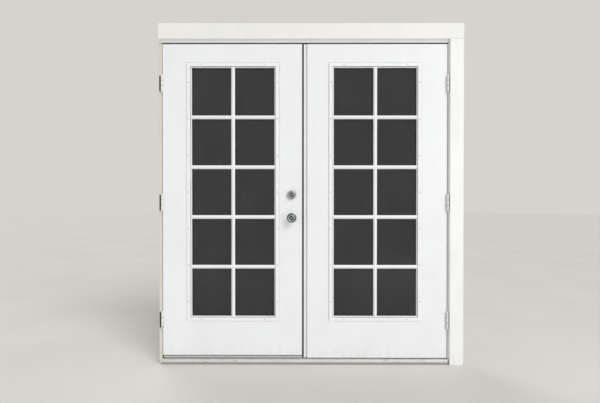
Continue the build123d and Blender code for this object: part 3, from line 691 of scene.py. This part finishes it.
# tarnish together with painted shade in the sunk rings and on the flanks of turned parts, and
# painted shade on the rose round the knob's foot
KNOB_TARNISH_AND_SHADE = (
    Layer("#3A3D40", 0.9, (Ring(rise_mm=(6.8, 8.0), fall_mm=(13.8, 15.0), z_mm=KNOB_Z_MM),)),
    Layer("#3A3D40", 0.9, (Ring(rise_mm=(21.0, 22.2), fall_mm=(39.4, 40.6), z_mm=KNOB_Z_MM),)),
)
ROSE_TARNISH_AND_SHADE = (Layer("#3A3D40", 0.7, (Ring(fall_mm=(29.0, 30.2), z_mm=KNOB_Z_MM),)),)
COLLAR_TARNISH_AND_SHADE = (
    Layer("#2B2E32", 0.95, (Ring(rise_mm=(7.6, 8.8), fall_mm=(14.8, 16.0), z_mm=DEADBOLT_Z_MM),)),
    Layer("#2B2E32", 0.95, (Ring(rise_mm=(22.6, 23.8), fall_mm=(39.4, 40.6), z_mm=DEADBOLT_Z_MM),)),
)
# dirt and painted shade in the joint between lite frame and skin, and in the groove between lite
# frame and grille
LEFT_JOINT, RIGHT_JOINT = (lite_line(lite, (0.0, 2.2), 0.45) for lite in LITES_MM)
LEFT_GROOVE, RIGHT_GROOVE = (lite_line(lite, (-25.9, -23.8), 0.8) for lite in LITES_MM)

LEVEL_STROKES = Clouds((240.0, 3.0, 3.0), 3.0)
FINE_STROKES = Clouds((2.0, 2.0, 240.0), 3.0)
LEFT_JAMB_PAINT = BrushedEnamel(
    "enamel_brushed_on_left_jamb", layers=(GRIME, EDGE_FILM, RABBET_PAINTED_SHADE, HINGE_PAINTED_SHADOW)
)
RIGHT_JAMB_PAINT = BrushedEnamel("enamel_brushed_on_right_jamb", layers=(GRIME, THIN_RABBET_PAINTED_SHADE))
HEAD_PAINT = BrushedEnamel(
    "enamel_brushed_on_head", relief=LEVEL_STROKES, layers=(HEAD_LIP_PAINTED_SHADE, RABBET_PAINTED_SHADE)
)
CASING_PAINT = BrushedEnamel(
    "enamel_brushed_on_casing", ("#F5F6F5", "#EAEBE8"), depth_mm=0.07, layers=(GRIME,)
)
HEAD_CASING_PAINT = BrushedEnamel(
    "enamel_brushed_on_head_casing", ("#F1F1EC", "#EAEBE8"), relief=LEVEL_STROKES, depth_mm=0.07
)
ASTRAGAL_PAINT = BrushedEnamel(
    "enamel_brushed_on_astragal", ("#EFF1F2", "#EAEBE8"), layers=(GRIME, ASTRAGAL_PAINTED_SHADE)
)
EDGE_PAINT = BrushedEnamel(
    "enamel_on_leaf_edges", ("#E9EBEB", "#EAEBE8"), relief=FINE_STROKES, layers=(GRIME, EDGE_PAINTED_SHADE)
)
LEFT_SKIN = SprayedSkin(
    "enamel_sprayed_on_left_leaf", layers=(GRIME, LEFT_JOINT, SKIN_EDGE_PAINTED_SHADE, MEETING_EDGE_PAINTED_SHADE)
)
RIGHT_SKIN = SprayedSkin("enamel_sprayed_on_right_leaf", layers=(GRIME, RIGHT_JOINT, SKIN_EDGE_PAINTED_SHADE))
LEFT_PLASTIC = MouldedPlastic("polypropylene_moulded_left", layers=(LEFT_GROOVE,))
RIGHT_PLASTIC = MouldedPlastic("polypropylene_moulded_right", layers=(RIGHT_GROOVE,))
# the screw covers are the lite frames' white plastic, greyed as painted shade in their dishes
COVER_PLASTIC_PAINTED_SHADE = MouldedPlastic(
    "polypropylene_screw_cover", ("#CAC9C4", "#CFCFCB", "#CFCFCB"), relief=Clouds((1.2, 1.2, 1.2))
)
GLASS = SolarFloatGlass("solar_grey_float_glass")
SPACER_METAL = WeatheredAluminium(
    "aluminium_spacer_rolled",
    ("#E2E3E1", "#B7B8B4", "#8C8C88"),
    metallic=Uneven((0.8, 0.0), By.LAST_MARK),
)
SILL_METAL = WeatheredAluminium("aluminium_sill_extruded", layers=(SILL_FOOT_DUST_AND_SHADE,))
SILL_CORE = MattCompound(
    "composite_sill_core", ("#8F7A5E", "#A08C70"), roughness=Uneven((0.80, 0.95), limits=DUSTING)
)
DARK_SEAL = MattCompound(
    "rubber_seal_extruded", ("#1E1D1B", "#33312D"), roughness=Uneven((0.72, 0.87), limits=DUSTING)
)
SWEEP_VINYL = MattCompound(
    "vinyl_sweep_extruded", ("#C3C6C7", "#B0AFA9"), layers=(SWEEP_TOP_PAINTED_SHADE,)
)
# near-black painted shade for the wards deep in each keyway
KEYWAY_PAINTED_SHADE = MattCompound("keyway_in_shade", ("#14130F", "#26241F"))
NICKEL = SatinNickel("satin_nickel_plate")
# the key plugs, knobs and roses are the same satin nickel as the plate, set darker as painted shade
PLUG_NICKEL_PAINTED_SHADE = SatinNickel("satin_nickel_key_plug_painted_shade", ("#A6AAAD", "#7A7E81"))
KNOB_NICKEL_PAINTED_SHADE = SatinNickel("satin_nickel_knob_painted_shade", ("#BCC0C3", "#8E9295"), layers=KNOB_TARNISH_AND_SHADE)
ROSE_NICKEL_PAINTED_SHADE = SatinNickel("satin_nickel_rose_painted_shade", ("#A5A8AA", "#797C7E"), layers=ROSE_TARNISH_AND_SHADE)
COLLAR_NICKEL = SatinNickel(
    "satin_nickel_turned_collar", ("#CED3D8", "#999DA2"), layers=COLLAR_TARNISH_AND_SHADE
)
# a near-black copy of the satin nickel for the cylinder face deep in the collar's recess: painted
# shade
RECESS_NICKEL_PAINTED_SHADE = SatinNickel(
    "satin_nickel_recess_painted_shade", ("#46494C", "#2B2D30"), roughness=Uneven((0.42, 0.62), limits=DULLING)
)
ZINC = ZincPlatedSteel("zinc_plated_steel")
HINGE_PAINT = PaintedSteel("steel_hinge_painted", layers=(BARREL_FLANK_PAINTED_SHADE, BARREL_JOINTS))
FLOOR_CONCRETE = PaleConcrete("concrete_pale_trowelled")


def dress(finish: Finish, *nodes: str, ease_mm: float = 0.0) -> None:
    """Gives carried-over solids their finish and, where asked, softened edges.

    Args:
        finish: The finish for the whole of each solid.
        *nodes: Names of the solids' nodes.
        ease_mm: Width of the rounding on their sharp edges, or 0 for none.
    """
    for node in nodes:
        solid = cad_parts[node]
        if not solid.material_slots:
            solid.data.materials.append(finish.material())
        for slot in solid.material_slots:
            slot.material = finish.material()
        if ease_mm:
            weld = solid.modifiers.new("joined_corners", "WELD")
            weld.merge_threshold = WELDED_MM * MM
            ease = solid.modifiers.new("eased_edges", "BEVEL")
            ease.width = ease_mm * MM
            ease.segments = 2
            ease.limit_method = "ANGLE"
            ease.angle_limit = EASED_ANGLE
            ease.harden_normals = False
        log.info("dressed %s with %s", node, finish.name)


def fit(
    piece: bpy.types.Object, body: str, finish: Finish, replaced: Iterable[str] = ()
) -> None:
    """Dresses a finished piece and fixes it to the body it moves with.

    Args:
        piece: The piece, already in place.
        body: The body it rides on.
        finish: Its finish.
        replaced: Solids that it stands for.
    """
    piece.data.materials.clear()
    piece.data.materials.append(finish.material())
    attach(piece, body)
    for node in replaced:
        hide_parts(node)
    log.info("made %s on %s in %s", piece.name, body, finish.name)


def at(x_mm: float, y_mm: float, z_mm: float) -> Vector:
    """A point given in millimetres, in metres."""
    return Vector((x_mm, y_mm, z_mm)) * MM


def outline(corners: Corners, steps: int) -> list[Vector]:
    """Turns corners into an outline with rounded bends.

    Args:
        corners: Radius, height and rounding of each corner in order, in millimetres.
        steps: Straight pieces in each rounded bend.

    Returns:
        Radius and height of each point, in metres.
    """
    points: list[Vector] = []
    spots = [Vector(corner[:2]) for corner in corners]
    for i, here in enumerate(spots):
        rounding = corners[i][2]
        if not rounding:
            points.append(here * MM)
            continue
        before, after = spots[i - 1] - here, spots[i + 1] - here
        cut = min(rounding, before.length * ROUNDED_SHARE, after.length * ROUNDED_SHARE)
        start, end = here + before.normalized() * cut, here + after.normalized() * cut
        for k in range(steps + 1):
            t = k / steps
            points.append((start * (1 - t) ** 2 + here * (2 * t * (1 - t)) + end * t**2) * MM)
    return points


def bridge(mesh: bmesh.types.BMesh, rings: Sequence[Sequence[bmesh.types.BMVert]]) -> None:
    """Joins each ring of corners to the next by faces.

    Args:
        mesh: The mesh that has the rings.
        rings: The rings in order, where a ring of one corner is a tip.
    """
    for lower, upper in zip(rings, rings[1:]):
        count = max(len(lower), len(upper))
        for k in range(count if count > 1 else 0):
            n = (k + 1) % count
            if len(lower) == 1:
                mesh.faces.new((lower[0], upper[n], upper[k]))
            elif len(upper) == 1:
                mesh.faces.new((lower[k], lower[n], upper[0]))
            else:
                mesh.faces.new((lower[k], lower[n], upper[n], upper[k]))


def sharpen(data: bpy.types.Mesh) -> None:
    """Shades a mesh smooth and keeps its sharp edges crisp."""
    data.shade_smooth()
    data.set_sharp_from_angle(angle=CRISP_ANGLE)


def as_object(name: str, mesh: bmesh.types.BMesh) -> bpy.types.Object:
    """Turns a mesh under construction into a scene object.

    Args:
        name: Name of the object.
        mesh: The mesh, which is used up.

    Returns:
        The new object.
    """
    bmesh.ops.recalc_face_normals(mesh, faces=mesh.faces)
    data = bpy.data.meshes.new(name)
    mesh.to_mesh(data)
    mesh.free()
    sharpen(data)
    made = bpy.data.objects.new(name, data)
    bpy.context.scene.collection.objects.link(made)
    return made


def bar(name: str, low: Vector, high: Vector) -> bpy.types.Object:
    """A straight-sided bar as an object of its own.

    Args:
        name: Name of the object.
        low: Its corner at the lowest X, Y and Z.
        high: The opposite corner.

    Returns:
        The new object.
    """
    mesh = bmesh.new()
    box = ((x, y, z) for x in (low.x, high.x) for y in (low.y, high.y) for z in (low.z, high.z))
    corners = [mesh.verts.new(corner) for corner in box]
    for face in (0, 1, 3, 2), (4, 6, 7, 5), (0, 4, 5, 1), (2, 3, 7, 6), (0, 2, 6, 4), (1, 5, 7, 3):
        mesh.faces.new([corners[i] for i in face])
    return as_object(name, mesh)


def turned(
    name: str, corners: Corners, seats: Iterable[Seat], sides: int, steps: int = 5
) -> bpy.types.Object:
    """A form turned about an axis, repeated at each of its seats.

    Args:
        name: Name of the object.
        corners: Radius, height and rounding of each corner of its outline, in millimetres.
        seats: Where its axis has the height 0, and the direction of greater heights.
        sides: Corners in each ring.
        steps: Straight pieces in each rounded bend of the outline.

    Returns:
        The new object.
    """
    mesh = bmesh.new()
    points = outline(corners, steps)
    for origin, axis in seats:
        across = axis.orthogonal().normalized()
        side = axis.cross(across)
        rings: list[list[bmesh.types.BMVert]] = []
        for radius, height in points:
            count = sides if radius else 1
            turns = (2 * math.pi * k / sides for k in range(count))
            ring = ((across * math.cos(a) + side * math.sin(a)) * radius for a in turns)
            rings.append([mesh.verts.new(origin + axis * height + spot) for spot in ring])
        bridge(mesh, rings)
    bmesh.ops.remove_doubles(mesh, verts=mesh.verts, dist=JOINED_MM * MM)
    return as_object(name, mesh)


def cut_out(body: bpy.types.Object, cutter: bpy.types.Object) -> None:
    """Takes one object's volume out of another and removes the cutter.

    Args:
        body: The object that is cut.
        cutter: The object whose volume is taken out.
    """
    step = body.modifiers.new("cut", "BOOLEAN")
    step.operation = "DIFFERENCE"
    step.solver = "EXACT"
    step.object = cutter
    bpy.context.view_layer.update()
    cut = body.evaluated_get(bpy.context.evaluated_depsgraph_get())
    body_data = bpy.data.meshes.new_from_object(cut)
    body.modifiers.clear()
    body.data = body_data
    sharpen(body_data)
    bpy.data.objects.remove(cutter)


@dataclass(frozen=True)
class ScrewHead:
    """A cross-recessed countersunk screw head, nearly flush, turned on from screw to screw."""

    diameter_mm: float = 8.0
    proud_mm: float = 0.4
    slot_mm: float = 1.1
    slot_depth_mm: float = 0.1
    arm_share: float = 0.5
    turn_radians: float = 0.7

    def pattern(self) -> bpy.types.Mesh:
        """One head about the origin with its axis along +Z.

        Returns:
            Its mesh.
        """
        half, proud, up = self.diameter_mm / 2, self.proud_mm, Vector((0, 0, 1))
        rim = ((half, -0.3, 0), (half, 0.05, 0.1), (half * 0.7, proud * 0.9, 1.0))
        corners = ((0, -0.3, 0), *rim, (0, proud, 0))
        head = turned("screw_pattern", corners, [(Vector(), up)], sides=24, steps=3)
        arm, width = half * self.arm_share, self.slot_mm / 2
        for x, y in ((arm, width), (width, arm)):
            cut_out(head, bar("screw_cutter", at(-x, -y, -self.slot_depth_mm), at(x, y, 2)))
        data = head.data
        bpy.data.objects.remove(head)
        return data

    def set_of(self, name: str, seats: Iterable[Seat]) -> bpy.types.Object:
        """Several heads in one object.

        Args:
            name: Name of the object.
            seats: Middle of each head on its surface, and the direction out of that surface.

        Returns:
            The object with all the heads.
        """
        data = self.pattern()
        joined = bmesh.new()
        for i, (place, out) in enumerate(seats):
            first = len(joined.verts)
            joined.from_mesh(data)
            joined.verts.ensure_lookup_table()
            turn = out.to_track_quat("Z", "Y").to_matrix().to_4x4()
            spin = Matrix.Rotation(self.turn_radians * i, 4, "Z")
            placed = Matrix.Translation(place) @ turn @ spin
            bmesh.ops.transform(joined, matrix=placed, verts=joined.verts[first:])
        bpy.data.meshes.remove(data)
        return as_object(name, joined)


HINGE_SCREW = ScrewHead()
PLATE_SCREW = ScrewHead(7.0)


def edge_seats(x_mm: float, out: int, spots_mm: Sequence[Limits]) -> list[Seat]:
    """Seats of screws in an upright edge that looks to the right (1) or to the left (-1)."""
    return [(at(x_mm, y, z), Vector((out, 0, 0))) for y, z in spots_mm]


@dataclass(frozen=True)
class Studio:
    """Floor, lamps, surroundings and camera."""

    floor_mm: Limits = (4000.0, 30000.0)
    floor_drop_mm: float = 0.5
    surround: str = "#D5D3CD"
    ambient: float = 0.42
    far_height: float = 40.0
    far_spread: float = 32.0
    lamp_target: Triple = (0.0, 0.0, 0.7)
    camera_place: Triple = (-0.025, -2.557, 1.076)
    camera_turn: Triple = (89.58, -0.02, 0.14)
    focal_px: float = 393.6
    image_width_px: float = 600.0
    sensor_mm: float = 36.0

    def lay_floor(self) -> None:
        """A wide round floor under the object."""
        corners = [(radius, 0, 0) for radius in (0, *self.floor_mm)]
        seat = (at(0, 0, -self.floor_drop_mm), Vector((0, 0, 1)))
        floor = turned("studio_floor", corners, [seat], sides=96)
        floor.data.materials.append(FLOOR_CONCRETE.material())

    def surroundings(self) -> None:
        """Even light from all sides, and the pale backdrop that the camera and mirrors see."""
        world = bpy.data.worlds.new("studio_surroundings")
        world.use_nodes = True
        tree = world.node_tree
        tree.nodes.clear()
        rays = add_node(tree, "ShaderNodeLightPath").outputs
        seen = rays["Is Camera Ray"]
        for ray in ("Is Glossy Ray", "Is Transmission Ray"):
            seen = add_node(tree, "ShaderNodeMath", (seen, rays[ray]), operation="MAXIMUM")
        lit = add_node(tree, "ShaderNodeBackground", (linear("#FFFFFF"), self.ambient))
        shown = add_node(tree, "ShaderNodeBackground", (linear(self.surround), 1.0))
        both = add_node(tree, "ShaderNodeMixShader", (seen, lit, shown))
        add_node(tree, "ShaderNodeOutputWorld", (both,))
        bpy.context.scene.world = world

    def lamp(self, name: str, place: Sequence[float], size: float, watts: float) -> None:
        """Hangs one large square lamp that faces the object.

        Args:
            name: Name of the lamp.
            place: Where it hangs, in metres.
            size: Side of the square, in metres.
            watts: Its power.
        """
        data = bpy.data.lights.new(name, "AREA")
        data.shape = "SQUARE"
        data.size = size
        data.energy = watts
        made = bpy.data.objects.new(name, data)
        made.location = place
        faced = Vector(self.lamp_target) - Vector(place)
        made.rotation_euler = faced.to_track_quat("-Z", "Y").to_euler()
        made.visible_transmission = False
        made.visible_camera = False
        bpy.context.scene.collection.objects.link(made)

    def far_lamp(self, name: str, azimuth_degrees: float, strength: float) -> None:
        """A broad, far-off lamp, even over object and floor alike.

        Args:
            name: Name of the lamp.
            azimuth_degrees: Where it stands, turned from the front towards the right.
            strength: Its light on a surface that faces it, in watts per square metre.
        """
        data = bpy.data.lights.new(name, "SUN")
        data.angle = math.radians(self.far_spread)
        data.energy = strength
        made = bpy.data.objects.new(name, data)
        azimuth, height = math.radians(azimuth_degrees), math.radians(self.far_height)
        level = math.cos(height)
        towards = Vector((level * math.sin(azimuth), -level * math.cos(azimuth), math.sin(height)))
        made.rotation_euler = towards.to_track_quat("Z", "Y").to_euler()
        bpy.context.scene.collection.objects.link(made)

    def light(self) -> None:
        """A soft key to the front right, a weaker one behind, and a fill on each side in front."""
        self.far_lamp("lamp_key", azimuth_degrees=36.0, strength=1.42)
        self.far_lamp("lamp_back", azimuth_degrees=-144.0, strength=0.7)
        self.lamp("lamp_front_right", place=(3.3, -3.4, 1.5), size=1.6, watts=37.0)
        self.lamp("lamp_front_left", place=(-3.6, -3.2, 1.5), size=2.0, watts=15.0)

    def set_camera(self) -> None:
        """The camera at the photographer's place."""
        data = bpy.data.cameras.new("camera")
        data.sensor_width = self.sensor_mm
        data.lens = self.focal_px / self.image_width_px * self.sensor_mm
        camera = bpy.data.objects.new("camera", data)
        camera.location = self.camera_place
        camera.rotation_euler = [math.radians(angle) for angle in self.camera_turn]
        bpy.context.scene.collection.objects.link(camera)
        bpy.context.scene.camera = camera

    def build(self) -> None:
        """Sets the whole studio up."""
        self.lay_floor()
        self.surroundings()
        self.light()
        self.set_camera()
        bpy.context.scene.view_settings.view_transform = "Standard"


@dataclass(frozen=True)
class DoorFrame:
    """Jambs, head, trim, sill and the fixed hinge halves."""

    pin_mm: tuple[float, float] = (925.0, -8.7)
    barrel_end_mm: float = 50.8
    plate_face_mm: float = 926.5
    strike_screws_mm: tuple[float, float] = (-12.5, 17.5)
    strike_face_mm: float = 2083.0

    def hinge_tips(self, side: int, name: str) -> None:
        """The turned tips that close each hinge barrel above and below.

        Args:
            side: -1 for the left hinges, 1 for the right ones.
            name: Name of the piece.
        """
        x, y = side * self.pin_mm[0], self.pin_mm[1]
        ends = [(z, way) for z in HINGE_HEIGHTS_MM for way in (-1, 1)]
        seats = [(at(x, y, z + way * self.barrel_end_mm), Vector((0, 0, way))) for z, way in ends]
        fit(turned(name, HINGE_TIP_MM, seats, sides=32), "frame", HINGE_PAINT)

    def screws(self) -> None:
        """Three screws in each hinge half on the jambs, and two in the head's strike."""
        face = self.plate_face_mm
        seats = edge_seats(-face, 1, HINGE_SCREWS_MM) + edge_seats(face, -1, HINGE_SCREWS_MM)
        piece = HINGE_SCREW.set_of("jamb_hinge_screws", seats)
        fit(piece, "frame", HINGE_PAINT)
        down = Vector((0, 0, -1))
        places = (at(x, LEAF_MM / 2, self.strike_face_mm) for x in self.strike_screws_mm)
        piece = PLATE_SCREW.set_of("head_strike_screws", [(place, down) for place in places])
        fit(piece, "frame", ZINC)

    def build(self) -> None:
        """Dresses the frame's solids and adds its small parts."""
        dress(LEFT_JAMB_PAINT, "left_jamb", ease_mm=1.2)
        dress(RIGHT_JAMB_PAINT, "right_jamb", ease_mm=1.2)
        dress(HEAD_PAINT, "head_jamb", ease_mm=1.2)
        dress(HEAD_CASING_PAINT, "head_casing", ease_mm=1.0)
        dress(CASING_PAINT, "right_casing", ease_mm=1.0)
        dress(SILL_CORE, "sill_base")
        dress(SILL_METAL, "sill_cover", ease_mm=0.6)
        dress(DARK_SEAL, "sill_gasket", "frame_seals", ease_mm=0.4)
        dress(ZINC, "head_strike", ease_mm=0.3)
        dress(HINGE_PAINT, "jamb_hinge_plates", ease_mm=0.3)
        self.hinge_tips(-1, "left_hinge_tips")
        self.hinge_tips(1, "right_hinge_tips")
        self.screws()


@dataclass(frozen=True)
class GlazedLeaf:
    """One leaf with its skins, core, glazing, hinge halves and sweep."""

    name: str
    side: int
    lite_mm: float
    skin: Finish
    plastic: Finish
    hinge_edge_mm: float = 923.5
    flange_mm: float = 5.5
    cover_inset_mm: float = 10.5
    covers_up_mm: tuple[float, ...] = (-711.0, -474.0, -237.0, 0.0, 237.0, 474.0, 711.0)
    covers_across_mm: tuple[float, ...] = (-203.0, 203.0)

    def screw_covers(self, y_mm: float, outward: int, name: str) -> None:
        """Small dished covers pressed into a lite frame's flange over its screws.

        Args:
            y_mm: The flange's face.
            outward: -1 for the outdoor face, 1 for the indoor face.
            name: Name of the piece.
        """
        half_x, half_z = (half - self.cover_inset_mm for half in LITE_MM)
        spots = [(side * half_x, z) for side in (-1, 1) for z in self.covers_up_mm]
        spots += [(x, side * half_z) for side in (-1, 1) for x in self.covers_across_mm]
        out = Vector((0, outward, 0))
        seats = [(at(self.lite_mm + x, y_mm, LITE_Z_MM + z), out) for x, z in spots]
        piece = turned(name, SCREW_COVER_MM, seats, sides=28, steps=3)
        fit(piece, f"{self.name}_leaf", COVER_PLASTIC_PAINTED_SHADE)

    def hinge_screws(self) -> None:
        """Three screws in each hinge half on the leaf's edge."""
        seats = edge_seats(self.side * self.hinge_edge_mm, self.side, HINGE_SCREWS_MM)
        piece = HINGE_SCREW.set_of(f"{self.name}_hinge_screws", seats)
        fit(piece, f"{self.name}_leaf", HINGE_PAINT)

    def build(self) -> None:
        """Dresses the leaf's solids and adds its small parts."""
        name = self.name
        dress(self.skin, f"{name}_outer_skin", f"{name}_inner_skin", ease_mm=0.6)
        members = ("hinge_stile", "meeting_stile", "top_rail", "bottom_rail")
        dress(EDGE_PAINT, *(f"{name}_{member}" for member in members))
        dress(self.plastic, f"{name}_outer_lite_frame", f"{name}_inner_lite_frame", ease_mm=0.8)
        dress(self.plastic, f"{name}_outer_grille", f"{name}_inner_grille", ease_mm=0.6)
        dress(GLASS, f"{name}_glass_panes")
        dress(SPACER_METAL, f"{name}_pane_spacer")
        dress(HINGE_PAINT, f"{name}_hinge_plates", ease_mm=0.3)
        dress(SWEEP_VINYL, f"{name}_door_sweep")
        self.screw_covers(-self.flange_mm, -1, f"{name}_outer_screw_covers")
        self.screw_covers(LEAF_MM + self.flange_mm, 1, f"{name}_inner_screw_covers")
        self.hinge_screws()


@dataclass(frozen=True)
class LockSet:
    """Knobs, roses, deadbolt collar, key plugs and bolts of the active leaf."""

    edge_mm: float = -15.5
    tailpiece_mm: Limits = (-0.5, 58.8)
    tailpiece_half_mm: float = 3.0

    def lathe(
        self,
        name: str,
        corners: Corners,
        z_mm: float,
        finish: Finish,
        replaced: str = "",
        inside: bool = False,
        body: str = "left_leaf",
        sides: int = 96,
    ) -> None:
        """Makes a turned part on the knob's or the deadbolt's axis.

        Args:
            name: Name of the piece.
            corners: Its outline, from the leaf's face outwards.
            z_mm: Height of the axis.
            finish: Its finish.
            replaced: The solid that it stands for, if any.
            inside: Whether it is on the indoor face.
            body: The body it rides on.
            sides: Corners in each ring.
        """
        seat = (at(LOCK_MM, LEAF_MM if inside else 0, z_mm), Vector((0, 1 if inside else -1, 0)))
        piece = turned(name, corners, [seat], sides)
        fit(piece, body, finish, [replaced] if replaced else [])

    def key_plug(self, lock: str, z_mm: float, front_mm: float, depth_mm: float) -> None:
        """A key cylinder plug with its keyway cut in the face.

        Args:
            lock: The lock it belongs to, which names its solid, its body and the piece.
            z_mm: Height of its axis.
            front_mm: Distance of its face from the leaf's outdoor face.
            depth_mm: Its length.
        """
        name, node, r = f"{lock}_plug_keyed", f"{lock}_key_plug", PLUG_RADIUS_MM
        corners = [(0, 0, 0), (r, 0, 0), (r, depth_mm, 0.4), (0, depth_mm, 0)]
        seat = (at(LOCK_MM, depth_mm - front_mm, z_mm), Vector((0, -1, 0)))
        plug = turned(name, corners, [seat], sides=48)
        face = at(LOCK_MM, -front_mm, z_mm)
        for x0, x1, z0, z1 in KEYWAY_MM:
            low, high = at(x0, -1, z0), at(x1, KEYWAY_DEPTH_MM, z1)
            cut_out(plug, bar("keyway_cutter", face + low, face + high))
        if lock == "deadbolt":
            # the square tail that reaches through the leaf to the thumb turn
            half, (start, end) = self.tailpiece_half_mm, self.tailpiece_mm
            low, high = at(LOCK_MM - half, start, z_mm - half), at(LOCK_MM + half, end, z_mm + half)
            tail = bar("tailpiece", low, high)
            mesh = bmesh.new()
            mesh.from_mesh(plug.data)
            mesh.from_mesh(tail.data)
            mesh.to_mesh(plug.data)
            mesh.free()
            sharpen(plug.data)
            bpy.data.objects.remove(tail)
        fit(plug, node, PLUG_NICKEL_PAINTED_SHADE, [node])
        # the wards deep in the keyway, near black as painted shade
        wards = bar(f"{name}_wards", *(face + at(*corner) for corner in WARDS_MM))
        fit(wards, node, KEYWAY_PAINTED_SHADE)

    def build(self) -> None:
        """Dresses the lock's solids and adds its turned parts."""
        for name, inside in (("knob_outside", False), ("knob_inside", True)):
            self.lathe(name, KNOB_MM, KNOB_Z_MM, KNOB_NICKEL_PAINTED_SHADE, "knobs", inside, "knob")
        for name, z_mm, inside in (
            ("rose_outside", KNOB_Z_MM, False),
            ("rose_inside", KNOB_Z_MM, True),
            ("rose_thumbturn", DEADBOLT_Z_MM, True),
        ):
            self.lathe(name, ROSE_MM, z_mm, ROSE_NICKEL_PAINTED_SHADE, "lock_roses", inside)
        collar = "deadbolt_collar"
        self.lathe(f"{collar}_turned", COLLAR_MM, DEADBOLT_Z_MM, COLLAR_NICKEL, collar)
        # a thin ring on the floor of the collar's recess, coloured as painted shade
        face = "deadbolt_cylinder_face"
        self.lathe(face, CYLINDER_MM, DEADBOLT_Z_MM, RECESS_NICKEL_PAINTED_SHADE, sides=64)
        self.key_plug("knob", KNOB_Z_MM, front_mm=58.0, depth_mm=12.0)
        self.key_plug("deadbolt", DEADBOLT_Z_MM, front_mm=17.0, depth_mm=16.7)
        seats = edge_seats(self.edge_mm, 1, PLATE_SCREWS_MM)
        fit(PLATE_SCREW.set_of("faceplate_screws", seats), "left_leaf", ZINC)
        dress(NICKEL, "knobs", "lock_roses", "deadbolt_collar")
        dress(NICKEL, "knob_key_plug", "deadbolt_key_plug")
        dress(NICKEL, "turn_button", ease_mm=0.6)
        dress(NICKEL, "deadbolt_thumbturn", ease_mm=1.2)
        dress(NICKEL, "latch_bolt", "deadbolt", ease_mm=0.5)
        dress(ZINC, "knob_spindle")
        dress(ZINC, "latch_case", "deadbolt_case", ease_mm=0.3)


@dataclass(frozen=True)
class Seam:
    """Astragal with its seal, strikes and flush bolts."""

    face_mm: float = -7.5
    seal_tip_mm: float = -13.0
    seal_depth_mm: float = 36.0
    fin_reach_mm: float = 2.2
    fin_foot_mm: float = 58.0
    fin_top_mm: float = 2076.0
    fin_wave_mm: float = 26.0
    fin_steps_in_wave: int = 4
    fin_sway_mm: float = 0.25
    fin_drift_mm: float = 0.2
    fin_drift_length_mm: float = 61.0
    # share of the reach, and half of the thickness, at each corner of the lip's section
    fin_section: tuple[tuple[float, float], ...] = (
        (0.0, -0.7), (0.75, -0.45), (1.0, 0.0), (0.75, 0.45), (0.0, 0.7),
    )

    def fin_ring(self, z: float) -> list[Vector]:
        """Corners of the lip's section at one height.

        Args:
            z: The height, in millimetres.

        Returns:
            The corners, in metres.
        """
        sway = self.fin_sway_mm * math.sin(2 * math.pi * z / self.fin_wave_mm)
        sway += self.fin_drift_mm * math.sin(z / self.fin_drift_length_mm)
        x, y = self.seal_tip_mm, self.seal_depth_mm
        return [
            at(x - self.fin_reach_mm * along, y + side + sway * along, z)
            for along, side in self.fin_section
        ]

    def seal_fin(self) -> None:
        """The thin lip on the bulb seal that closes the last of the gap beside the active leaf.

        The lip waves a little along its length, as a strip does that has taken a set.
        """
        mesh = bmesh.new()
        length = self.fin_top_mm - self.fin_foot_mm
        steps = int(length / self.fin_wave_mm * self.fin_steps_in_wave)
        heights = (self.fin_foot_mm + length * k / steps for k in range(steps + 1))
        rings = [[mesh.verts.new(corner) for corner in self.fin_ring(z)] for z in heights]
        bridge(mesh, rings)
        mesh.faces.new(rings[0])
        mesh.faces.new(rings[-1][::-1])
        fit(as_object("astragal_seal_fin", mesh), "right_leaf", DARK_SEAL)

    def build(self) -> None:
        """Dresses the seam's solids and adds its lip and screws."""
        dress(ASTRAGAL_PAINT, "astragal", ease_mm=0.5)
        dress(DARK_SEAL, "astragal_seal", ease_mm=0.4)
        dress(ZINC, "latch_strike", "deadbolt_strike", ease_mm=0.3)
        dress(ZINC, "top_flush_bolt", "bottom_flush_bolt", ease_mm=0.5)
        self.seal_fin()
        seats = edge_seats(self.face_mm, -1, PLATE_SCREWS_MM)
        piece = PLATE_SCREW.set_of("strike_screws", seats)
        fit(piece, "right_leaf", ZINC)


def main() -> None:
    """Builds the studio and every sub-assembly in order."""
    logging.basicConfig(level=logging.INFO, format="%(name)s: %(message)s")
    Studio().build()
    DoorFrame().build()
    GlazedLeaf("left", -1, LITES_MM[0], LEFT_SKIN, LEFT_PLASTIC).build()
    GlazedLeaf("right", 1, LITES_MM[1], RIGHT_SKIN, RIGHT_PLASTIC).build()
    LockSet().build()
    Seam().build()


if __name__ == "__main__":
    main()
